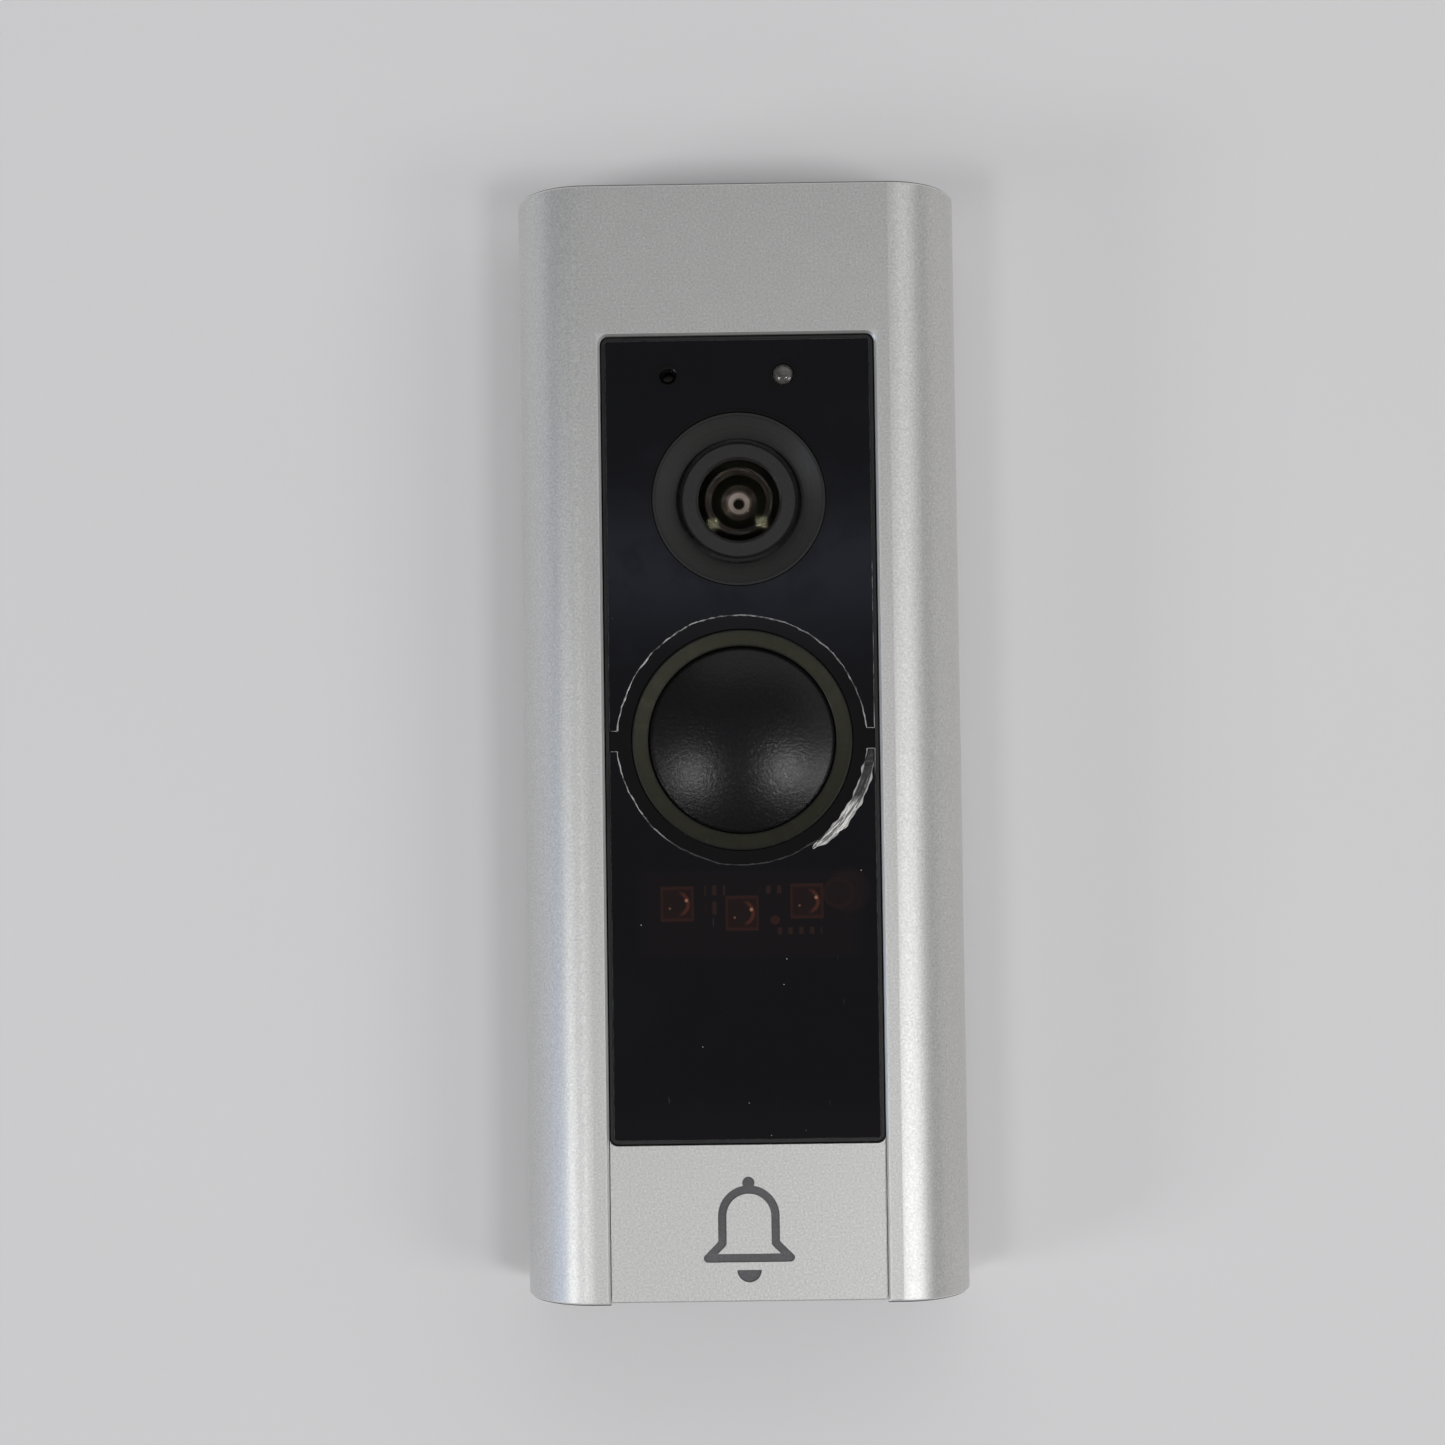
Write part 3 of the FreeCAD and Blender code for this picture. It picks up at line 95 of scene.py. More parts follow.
# ---- a small kit for shader nodes ----------------------------------------------------------------
class Look:
    """One procedural material. Its nodes read positions in millimetres from the doorbell's origin."""

    def __init__(self, name, color, roughness, metallic=0.0, **sockets):
        self.material = bpy.data.materials.new(name)
        self.material.use_nodes = True
        self.tree = self.material.node_tree
        self.tree.nodes.clear()
        self.out = self.tree.nodes.new("ShaderNodeOutputMaterial")
        self.shader = self.tree.nodes.new("ShaderNodeBsdfPrincipled")
        self.tree.links.new(self.shader.outputs[0], self.out.inputs[0])
        self.set("Base Color", (*color, 1.0))
        self.set("Roughness", roughness)
        self.set("Metallic", metallic)
        for key, value in sockets.items():
            self.set(key.replace("_", " "), value)
        self.color = color
        self.roughness = roughness
        self._place = None
        self._bumps = None

    def set(self, socket, value):
        self.shader.inputs[socket].default_value = value

    def node(self, kind, **inputs):
        made = self.tree.nodes.new("ShaderNode" + kind)
        for key, value in inputs.items():
            self.feed(made, key.replace("_", " "), value)
        return made

    def feed(self, node, key, value):
        socket = node.inputs[int(key)] if key.isdigit() else node.inputs[key]
        if isinstance(value, bpy.types.NodeSocket):
            self.tree.links.new(value, socket)
        else:
            socket.default_value = value

    def place(self):
        """The point being shaded, in millimetres."""
        if self._place is None:
            coord = self.node("TexCoord")
            scale = self.node("VectorMath")
            scale.operation = "SCALE"
            self.tree.links.new(coord.outputs["Object"], scale.inputs[0])
            scale.inputs["Scale"].default_value = 1000.0
            self._place = scale.outputs[0]
        return self._place

    def axes(self):
        return self.node("SeparateXYZ", Vector=self.place()).outputs

    def math(self, operation, a, b=0.0):
        made = self.node("Math")
        made.operation = operation
        self.feed(made, "0", a)
        self.feed(made, "1", b)
        return made.outputs[0]

    def share(self, mask, amount):
        """A mask at part of its strength."""
        return self.math("MULTIPLY", mask, amount)

    def off(self, value, middle):
        """How far a coordinate is from a middle, on either side of it."""
        return self.math("ABSOLUTE", self.math("SUBTRACT", value, middle))

    def stretched(self, scale):
        made = self.node("VectorMath")
        made.operation = "MULTIPLY"
        self.tree.links.new(self.place(), made.inputs[0])
        made.inputs[1].default_value = scale
        return made.outputs[0]

    def noise(self, size_mm, detail=3.0, rough=0.5, scale=(1, 1, 1), distortion=0.0):
        made = self.node("TexNoise", Scale=1.0 / size_mm, Detail=detail, Roughness=rough)
        made.inputs["Distortion"].default_value = distortion
        self.tree.links.new(self.stretched(scale), made.inputs["Vector"])
        return made.outputs["Fac"]

    def cells(self, size_mm):
        made = self.node("TexVoronoi", Scale=1.0 / size_mm)
        self.tree.links.new(self.place(), made.inputs["Vector"])
        return made.outputs["Distance"]

    def band(self, value, low, high):
        """0 below low and 1 above high, smooth between; the other way round when low is above high."""
        made = self.node("MapRange", Value=value)
        made.interpolation_type = "SMOOTHSTEP"
        made.inputs["From Min"].default_value = min(low, high)
        made.inputs["From Max"].default_value = max(low, high)
        made.inputs["To Min"].default_value = 0.0 if low < high else 1.0
        made.inputs["To Max"].default_value = 1.0 if low < high else 0.0
        return made.outputs[0]

    def radius(self, x, z):
        """Distance in millimetres from a line along Y."""
        axes = self.axes()
        across = self.math("SUBTRACT", axes[0], x)
        along = self.math("SUBTRACT", axes[2], z)
        squares = self.math("ADD", self.math("POWER", across, 2.0), self.math("POWER", along, 2.0))
        return self.math("SQRT", squares)

    def both(self, *masks):
        result = masks[0]
        for mask in masks[1:]:
            result = self.math("MULTIPLY", result, mask)
        return result

    def tint(self, mask, color):
        """Mixes a colour over the base colour where the mask is 1."""
        mix = self.node("Mix")
        mix.data_type = "RGBA"
        factor, a, b = mix.inputs[0], mix.inputs[6], mix.inputs[7]
        self.tree.links.new(mask, factor)
        link = self.shader.inputs["Base Color"].links
        if link:
            self.tree.links.new(link[0].from_socket, a)
        else:
            a.default_value = (*self.color, 1.0)
        b.default_value = (*color, 1.0)
        self.tree.links.new(mix.outputs[2], self.shader.inputs["Base Color"])
        return self

    def shine(self, mask, roughness):
        """Mixes a roughness over the present one where the mask is 1."""
        mix = self.node("Mix")
        self.tree.links.new(mask, mix.inputs[0])
        link = self.shader.inputs["Roughness"].links
        if link:
            self.tree.links.new(link[0].from_socket, mix.inputs[2])
        else:
            mix.inputs[2].default_value = self.roughness
        mix.inputs[3].default_value = roughness
        self.tree.links.new(mix.outputs[0], self.shader.inputs["Roughness"])
        return self

    def bump(self, height, depth_mm, strength=1.0):
        made = self.node("Bump", Strength=strength, Distance=depth_mm * MM)
        self.tree.links.new(height, made.inputs["Height"])
        if self._bumps is not None:
            self.tree.links.new(self._bumps, made.inputs["Normal"])
        self._bumps = made.outputs[0]
        self.tree.links.new(self._bumps, self.shader.inputs["Normal"])
        return self


def speckled(look, size_mm, low, high, color):
    """Tints the spots where a fine noise is high."""
    return look.tint(look.band(look.noise(size_mm, 2.0), low, high), color)


# ---- materials -----------------------------------------------------------------------------------
def paint_rim_highlights(look):
    """Paints highlights on the slot's rim and the cover's ends, up to a thin painted line of dark shade."""
    axes = look.axes()
    across, reach = look.math("ABSOLUTE", axes[0]), look.math("ABSOLUTE", axes[2])
    half, top_z = OPENING_HALF_MM, OPENING_TOP_MM
    sides = look.band(across, half + 0.45, half + 0.25)
    sides = look.both(sides, look.band(axes[2], top_z + 0.40, top_z + 0.20))
    top = look.both(look.band(across, half + 0.55, half + 0.35), look.band(axes[2], top_z - 0.05, top_z))
    top = look.both(top, look.band(axes[2], top_z + 0.32, top_z + 0.25))
    rim = look.both(look.math("MAXIMUM", sides, top), look.band(axes[1], FACE_MM + 0.6, FACE_MM + 0.4))
    # painted highlight along the slot's chamfered rim
    look.tint(look.share(rim, 0.75), (0.80, 0.80, 0.78))
    # painted highlight across the chamfer at each end
    look.tint(look.band(reach, HALF_HEIGHT_MM - 0.27, HALF_HEIGHT_MM - 0.21), (0.86, 0.86, 0.84))
    # a thin painted line of dark shade at the very end
    look.tint(look.band(reach, HALF_HEIGHT_MM - 0.15, HALF_HEIGHT_MM - 0.09), (0.20, 0.20, 0.205))


def anodised(name, rim_highlights):
    """Bead-blasted, clear-anodised aluminium: an even satin with a fine metallic grain."""
    look = Look(name, (0.66, 0.66, 0.642), 0.44, 1.0)
    grain = look.noise(0.22, 2.0, 0.6)
    look.tint(look.band(grain, 0.48, 0.70), (0.77, 0.77, 0.75))
    look.tint(look.share(look.band(grain, 0.48, 0.30), 0.7), (0.535, 0.535, 0.525))
    look.tint(look.share(look.band(look.noise(14.0, 2.0), 0.40, 0.70), 0.06), (0.72, 0.72, 0.70))
    # on the cover only: painted highlights on the slot's rim and ends, and painted shade at the ends
    if rim_highlights:
        paint_rim_highlights(look)
    look.shine(look.band(look.noise(1.2, 4.0), 0.35, 0.75), 0.46)
    scratches = look.noise(0.9, 5.0, 0.75, (0.5, 0.5, 0.06))
    look.shine(look.band(scratches, 0.70, 0.78), 0.40)
    look.bump(look.noise(0.20, 2.0, 0.65), 0.012, 0.55)
    look.bump(look.noise(0.6, 3.0, 0.5), 0.010, 0.25)
    return look.material


def infrared_lamp(look, axes, x, z):
    """One lamp as it shows through the panel: a square package round a lens with two small painted glints."""
    across, along = look.off(axes[0], x), look.off(axes[2], z)
    package = look.both(look.band(across, 1.75, 1.60), look.band(along, 1.85, 1.70))
    border = look.both(package, look.band(look.math("MAXIMUM", across, along), 1.35, 1.55))
    look.tint(look.share(package, 0.6), (0.020, 0.0075, 0.006))
    look.tint(look.share(border, 0.6), (0.036, 0.013, 0.010))
    lens = look.radius(x, z)
    look.tint(look.band(lens, 1.25, 1.0), (0.013, 0.006, 0.0055))
    # a painted highlight on the right side of the lens's rim
    rim = look.both(look.band(lens, 0.85, 1.05), look.band(lens, 1.4, 1.2))
    side = look.band(look.math("SUBTRACT", axes[0], x), 0.0, 0.9)
    look.tint(look.both(rim, side), (0.065, 0.020, 0.013))
    # two small painted glints on the lens
    look.tint(look.band(look.radius(x + 0.95, z + 0.35), 0.24, 0.10), (0.34, 0.15, 0.10))
    look.tint(look.band(look.radius(x - 0.75, z - 0.45), 0.16, 0.07), (0.16, 0.07, 0.05))


def parts_behind(look, axes):
    """The lamps and small parts that show faintly through the infrared-clear plastic."""
    row = look.both(look.band(axes[2], -22.6, -21.6), look.band(axes[2], -13.0, -13.9))
    row = look.both(row, look.band(look.off(axes[0], 0.6), 12.2, 10.0))
    look.tint(look.share(row, 0.5), (0.0085, 0.0045, 0.0042))
    for x, z in IR_LAMPS_MM:
        infrared_lamp(look, axes, x, z)
    for x, z, half_x, half_z in CHIPS_MM:
        across, along = look.off(axes[0], x), look.off(axes[2], z)
        chip = look.both(look.band(across, half_x + 0.1, half_x), look.band(along, half_z + 0.1, half_z))
        rail = look.band(look.math("PINGPONG", look.math("ADD", axes[0], 30.0), 0.55), 0.25, 0.4)
        look.tint(look.both(chip, rail), (0.026, 0.012, 0.010))
    look.tint(look.band(look.radius(3.1, -18.4), 0.55, 0.4), (0.030, 0.011, 0.008))
    coil = look.radius(9.6, -15.7)
    winding = look.both(look.band(coil, 1.1, 1.3), look.band(coil, 1.7, 1.5))
    look.tint(look.share(winding, 0.5), (0.026, 0.010, 0.008))
    look.tint(look.share(look.band(look.radius(10.6, -15.5), 2.6, 1.8), 0.4), (0.018, 0.0085, 0.008))


def window(name, base, grey):
    """A polished near-black panel: faint red lamps and parts behind it, dust and hairline scratches on it."""
    look = Look(name, base, 0.07, 0.0, IOR=1.46)
    axes = look.axes()
    look.tint(look.share(look.band(look.noise(14.0, 2.0), 0.42, 0.75), 0.5), grey)
    parts_behind(look, axes)
    # the panel is faintly red at its foot
    look.tint(look.share(look.band(axes[2], -34.0, -41.0), 0.5), (0.0075, 0.0050, 0.0050))
    # dust motes, and upright hairlines, with more of them low on the window
    dust = look.both(look.band(look.cells(2.6), 0.034, 0.016), look.band(look.noise(5.0, 1.0), 0.49, 0.56))
    look.tint(dust, (0.42, 0.42, 0.42))
    look.shine(dust, 0.7)
    hair = look.noise(0.55, 2.0, 0.5, (0.9, 1.0, 0.10), 0.35)
    handled = look.share(look.band(axes[2], -22.0, -34.0), 0.09)
    patch = look.band(look.math("ADD", look.noise(7.0, 2.0), handled), 0.56, 0.66)
    look.tint(look.both(look.band(hair, 0.715, 0.750), patch), (0.085, 0.085, 0.09))
    look.shine(look.band(look.noise(3.0, 4.0), 0.45, 0.75), 0.115)
    look.bump(look.noise(16.0, 1.0), 0.03, 0.10)
    return look.material


def button_plastic(name):
    """Dark plastic with a fine spark grain, which breaks each highlight into points."""
    look = Look(name, (0.0028, 0.0028, 0.0032), 0.27, 0.0, IOR=1.40)
    sparks = look.noise(0.22, 2.0, 0.7)
    look.tint(look.band(sparks, 0.58, 0.74), (0.009, 0.009, 0.0087))
    look.tint(look.band(sparks, 0.42, 0.30), (0.002, 0.002, 0.0022))
    look.shine(look.band(look.noise(0.35, 3.0), 0.42, 0.70), 0.23)
    look.shine(look.band(look.radius(0.0, BUTTON_Z_MM), 9.0, 9.55), 0.30)
    look.bump(look.noise(0.32, 3.0, 0.65), 0.036, 0.8)
    look.bump(look.noise(2.2, 2.0), 0.020, 0.18)
    return look.material


def ring_plastic(name):
    """Smoked translucent ring: duller and darker towards both of its edges."""
    look = Look(name, (0.0120, 0.0122, 0.0068), 0.50, 0.0, IOR=1.41)
    look.set("Specular Tint", (1.0, 1.0, 0.80, 1.0))
    away = look.radius(0.0, BUTTON_Z_MM)
    look.tint(look.band(away, 10.6, 11.2), (0.0070, 0.0076, 0.0076))
    look.tint(look.band(away, 10.0, 9.8), (0.0085, 0.0085, 0.0073))
    speckled(look, 0.5, 0.60, 0.70, (0.0165, 0.0165, 0.0135))
    look.shine(look.band(look.noise(1.5, 3.0), 0.4, 0.7), 0.40)
    look.bump(look.noise(0.25, 3.0), 0.008, 0.3)
    return look.material


def lathe_grooves(look, away, per_mm, **noise):
    """A height that changes only with the distance from the part's own axis."""
    grooves = look.node("TexNoise", Scale=1.0, **noise)
    line = look.node("CombineXYZ")
    look.tree.links.new(look.math("MULTIPLY", away, per_mm), line.inputs[0])
    look.tree.links.new(line.outputs[0], grooves.inputs["Vector"])
    return grooves.outputs["Fac"]


def turned_trim(name):
    """Dark anodised cone with fine lathe grooves."""
    look = Look(name, (0.034, 0.033, 0.032), 0.50, 0.12, IOR=1.45)
    away = look.radius(0.0, LENS_Z_MM)
    grooves = lathe_grooves(look, away, 9.0, Detail=3.0, Roughness=0.6)
    look.tint(look.band(grooves, 0.45, 0.70), (0.048, 0.047, 0.045))
    look.tint(look.band(away, 8.45, 8.60), (0.016, 0.015, 0.015))
    look.shine(look.band(look.noise(0.8, 3.0), 0.4, 0.7), 0.42)
    look.bump(grooves, 0.012, 0.45)
    look.bump(look.noise(0.12, 2.0), 0.010, 0.4)
    return look.material


def barrel_plastic(name):
    """Satin black ring with a thin polished edge, fine turning marks and a browner bore."""
    look = Look(name, (0.0105, 0.0098, 0.0098), 0.46, 0.0, IOR=1.5)
    away = look.radius(0.0, LENS_Z_MM)
    grooves = lathe_grooves(look, away, 12.0, Detail=2.0)
    look.tint(look.band(grooves, 0.45, 0.75), (0.018, 0.017, 0.016))
    speckled(look, 0.25, 0.60, 0.72, (0.024, 0.022, 0.021))
    look.tint(look.band(away, 4.30, 4.12), (0.045, 0.033, 0.029))
    look.shine(look.both(look.band(away, 5.80, 5.92), look.band(away, 6.2, 6.1)), 0.22)
    look.bump(grooves, 0.010, 0.35)
    look.bump(look.noise(0.15, 2.0), 0.008, 0.35)
    return look.material


def moulded(name, color, roughness=0.5, grain_mm=0.35, depth_mm=0.03):
    """Injection-moulded plastic with a spark-eroded grain, rubbed smoother in patches."""
    look = Look(name, color, roughness, 0.0, IOR=1.5)
    lighter = tuple(min(1.0, c * 1.45 + 0.006) for c in color)
    darker = tuple(c * 0.72 for c in color)
    look.tint(look.share(look.band(look.noise(grain_mm, 3.0, 0.6), 0.45, 0.70), 0.7), lighter)
    look.tint(look.share(look.band(look.noise(7.0, 3.0), 0.35, 0.60), 0.4), darker)
    look.shine(look.band(look.noise(4.0, 4.0), 0.50, 0.72), max(0.15, roughness - 0.12))
    look.bump(look.noise(grain_mm * 0.8, 3.0, 0.65), depth_mm, 0.55)
    return look.material


def bare_metal(name, color, roughness, streak=(1, 1, 1), stain=None):
    """Plated or drawn metal with fine streaks and dull patches."""
    look = Look(name, color, roughness, 1.0)
    lighter = tuple(min(1.0, c * 1.18) for c in color)
    look.tint(look.share(look.band(look.noise(0.22, 3.0, 0.6, streak), 0.45, 0.70), 0.7), lighter)
    dull = stain or tuple(c * 0.75 for c in color)
    look.tint(look.share(look.band(look.noise(2.5, 3.0), 0.50, 0.70), 0.5), dull)
    look.shine(look.band(look.noise(1.1, 4.0), 0.45, 0.70), roughness + 0.12)
    look.bump(look.noise(0.18, 3.0, 0.6, streak), 0.012, 0.45)
    return look.material


def rubber(name, color):
    look = Look(name, color, 0.72, 0.0, IOR=1.45, Sheen_Weight=0.15)
    look.tint(look.band(look.noise(0.5, 4.0), 0.50, 0.72), tuple(c * 1.5 + 0.01 for c in color))
    look.shine(look.band(look.noise(2.0, 3.0), 0.45, 0.70), 0.60)
    look.bump(look.noise(0.25, 3.0), 0.02, 0.5)
    return look.material


def board(name, color, copper):
    """Solder mask over fine copper tracks."""
    look = Look(name, color, 0.34, 0.0, IOR=1.5, Coat_Weight=0.25)
    tracks = look.node("TexBrick", Scale=0.42)
    look.tree.links.new(look.place(), tracks.inputs["Vector"])
    tracks.inputs["Mortar Size"].default_value = 0.05
    look.tint(look.share(look.band(tracks.outputs["Fac"], 0.3, 0.7), 0.6), tuple(c * 1.6 for c in color))
    pads = look.band(look.cells(1.7), 0.16, 0.12)
    look.tint(look.both(pads, look.band(look.noise(4.0, 1.0), 0.50, 0.54)), copper)
    look.shine(look.band(look.noise(1.5, 3.0), 0.45, 0.70), 0.46)
    look.bump(tracks.outputs["Fac"], 0.02, 0.4)
    return look.material


def label(name):
    """A blank label: off-white polyester, lightly mottled, with a plain grey border."""
    look = Look(name, (0.70, 0.70, 0.67), 0.45, 0.0, IOR=1.45)
    axes = look.axes()
    middle_z, half_width, half_height = 20.0, 12.4, 11.9
    across = look.math("SUBTRACT", look.math("ABSOLUTE", axes[0]), half_width)
    along = look.math("SUBTRACT", look.off(axes[2], middle_z), half_height)
    edge = look.math("MAXIMUM", across, along)
    border = look.both(look.band(edge, -0.30, -0.25), look.band(edge, 0.05, 0.0))
    look.tint(look.share(border, 0.7), (0.25, 0.25, 0.25))
    look.tint(look.share(look.band(look.noise(0.3, 4.0), 0.45, 0.70), 0.35), (0.60, 0.60, 0.57))
    look.tint(look.share(look.band(look.noise(6.0, 3.0), 0.50, 0.75), 0.35), (0.63, 0.62, 0.57))
    look.shine(look.band(look.noise(3.0, 3.0), 0.45, 0.70), 0.36)
    look.bump(look.noise(0.2, 3.0), 0.006, 0.4)
    return look.material


def optic(name, color, coating):
    """Glass whose coating gives its reflections an olive cast."""
    look = Look(name, color, 0.07, 0.0, IOR=1.42, Transmission_Weight=1.0)
    look.set("Specular Tint", (*coating, 1.0))
    look.shine(look.band(look.noise(0.7, 4.0), 0.62, 0.72), 0.10)
    look.bump(look.noise(3.0, 1.0), 0.002, 0.1)
    return look.material


def stop_metal(name):
    """The stepped black ring inside the lens, with a painted reflection round its iris: a pale ring."""
    look = Look(name, (0.034, 0.025, 0.021), 0.42, 0.0, IOR=1.5)
    away = look.radius(0.0, LENS_Z_MM)
    look.tint(look.both(look.band(away, 2.62, 2.72), look.band(away, 3.02, 2.92)), (0.055, 0.047, 0.043))
    look.tint(look.both(look.band(away, 1.62, 1.70), look.band(away, 1.85, 1.78)), (0.045, 0.040, 0.036))
    # painted reflection round the iris: a pale ring on a grey disc
    look.tint(look.band(away, 1.12, 0.98), (0.20, 0.18, 0.155))
    look.tint(look.both(look.band(away, 0.42, 0.50), look.band(away, 0.90, 0.82)), (0.85, 0.81, 0.75))
    look.shine(look.band(look.noise(0.3, 3.0), 0.45, 0.70), 0.30)
    look.bump(look.noise(0.2, 3.0), 0.006, 0.3)
    return look.material


def sensor(name):
    look = Look(name, (0.030, 0.016, 0.034), 0.10, 0.0, IOR=1.5, Coat_Weight=0.6)
    look.tint(look.band(look.cells(0.3), 0.3, 0.5), (0.05, 0.03, 0.055))
    look.bump(look.noise(0.3, 2.0), 0.004, 0.3)
    return look.material


def pipe_plastic(name):
    """Clear polycarbonate with a slightly frosted body and a painted glint near its middle."""
    look = Look(name, (0.20, 0.19, 0.175), 0.12, 0.0, IOR=1.58, Transmission_Weight=0.55)
    look.tint(look.band(look.noise(0.5, 3.0), 0.45, 0.75), (0.10, 0.095, 0.085))
    # a painted glint: a paler spot on the pipe
    look.tint(look.band(look.radius(*PIPE_GLINT_MM), 0.50, 0.22), (0.26, 0.25, 0.23))
    look.shine(look.band(look.noise(0.4, 3.0), 0.45, 0.70), 0.30)
    look.bump(look.noise(0.6, 2.0), 0.02, 0.4)
    return look.material


def film_edge(name):
    """The cut edge of a clear film: mostly faint, and white where it is rough enough to scatter light."""
    look = Look(name, (0.045, 0.045, 0.046), 0.42, 0.0, IOR=1.5)
    axes = look.axes()
    rough = look.band(look.noise(2.2, 3.0, 0.7), 0.40, 0.58)
    above = look.band(axes[2], 2.0, 7.0)
    left = look.both(look.band(axes[0], 2.0, -5.0), look.band(axes[2], -11.0, -8.5))
    look.tint(look.share(look.both(above, rough), 0.8), (0.33, 0.33, 0.32))
    look.tint(look.both(left, rough), (0.50, 0.50, 0.49))
    near = look.band(look.math("ABSOLUTE", axes[2]), 4.0, 2.2)
    look.tint(look.share(near, 0.8), (0.50, 0.50, 0.48))
    edge = look.band(look.math("ABSOLUTE", axes[0]), 13.30, 13.40)
    far = look.band(look.math("ABSOLUTE", axes[2]), 17.0, 18.5)
    clean = look.math("MAXIMUM", far, look.band(axes[0], 0.0, -1.0))
    look.tint(look.both(edge, clean), (0.030, 0.030, 0.031))
    look.tint(look.band(look.math("ABSOLUTE", axes[2]), 39.0, 40.0), (0.040, 0.040, 0.041))
    look.shine(look.band(look.noise(0.5, 3.0), 0.45, 0.65), 0.22)
    look.bump(look.noise(0.15, 3.0), 0.02, 0.6)
    return look.material


def creased_film(name):
    """Lifted film: clear between two white edges at its top, and creased white along its lower part."""
    look = Look(name, (0.016, 0.016, 0.017), 0.34, 0.0, IOR=1.5)
    away = look.radius(0.0, BUTTON_Z_MM)
    axes = look.axes()
    line = look.node("CombineXYZ")
    look.tree.links.new(look.math("MULTIPLY", away, 5.5), line.inputs[0])
    look.tree.links.new(look.math("MULTIPLY", axes[0], 0.45), line.inputs[1])
    look.tree.links.new(look.math("MULTIPLY", axes[2], 0.45), line.inputs[2])
    ridges = look.node("TexNoise", Scale=1.0, Detail=4.0, Roughness=0.65, Distortion=0.4)
    look.tree.links.new(line.outputs[0], ridges.inputs["Vector"])
    streak = ridges.outputs["Fac"]
    low = look.band(axes[2], -5.6, -7.2)
    look.tint(look.share(low, 0.75), (0.20, 0.195, 0.185))
    look.tint(look.both(low, look.band(streak, 0.46, 0.53)), (0.88, 0.87, 0.84))
    look.tint(look.both(look.band(axes[2], -2.0, -6.0), look.band(streak, 0.58, 0.66)), (0.55, 0.54, 0.52))
    side = look.band(look.off(away, 13.13), 0.40, 0.50)
    ragged = look.both(side, look.band(look.noise(1.1, 2.0), 0.32, 0.46))
    look.tint(look.share(ragged, 0.85), (0.60, 0.60, 0.58))
    look.shine(look.band(streak, 0.5, 0.7), 0.2)
    look.bump(streak, 0.06, 0.8)
    return look.material


def speaker_paper(name):
    look = Look(name, (0.035, 0.035, 0.038), 0.7, 0.0, Sheen_Weight=0.1)
    look.tint(look.band(look.noise(0.3, 4.0), 0.45, 0.70), (0.06, 0.06, 0.065))
    look.bump(look.noise(0.4, 4.0), 0.03, 0.6)
    return look.material


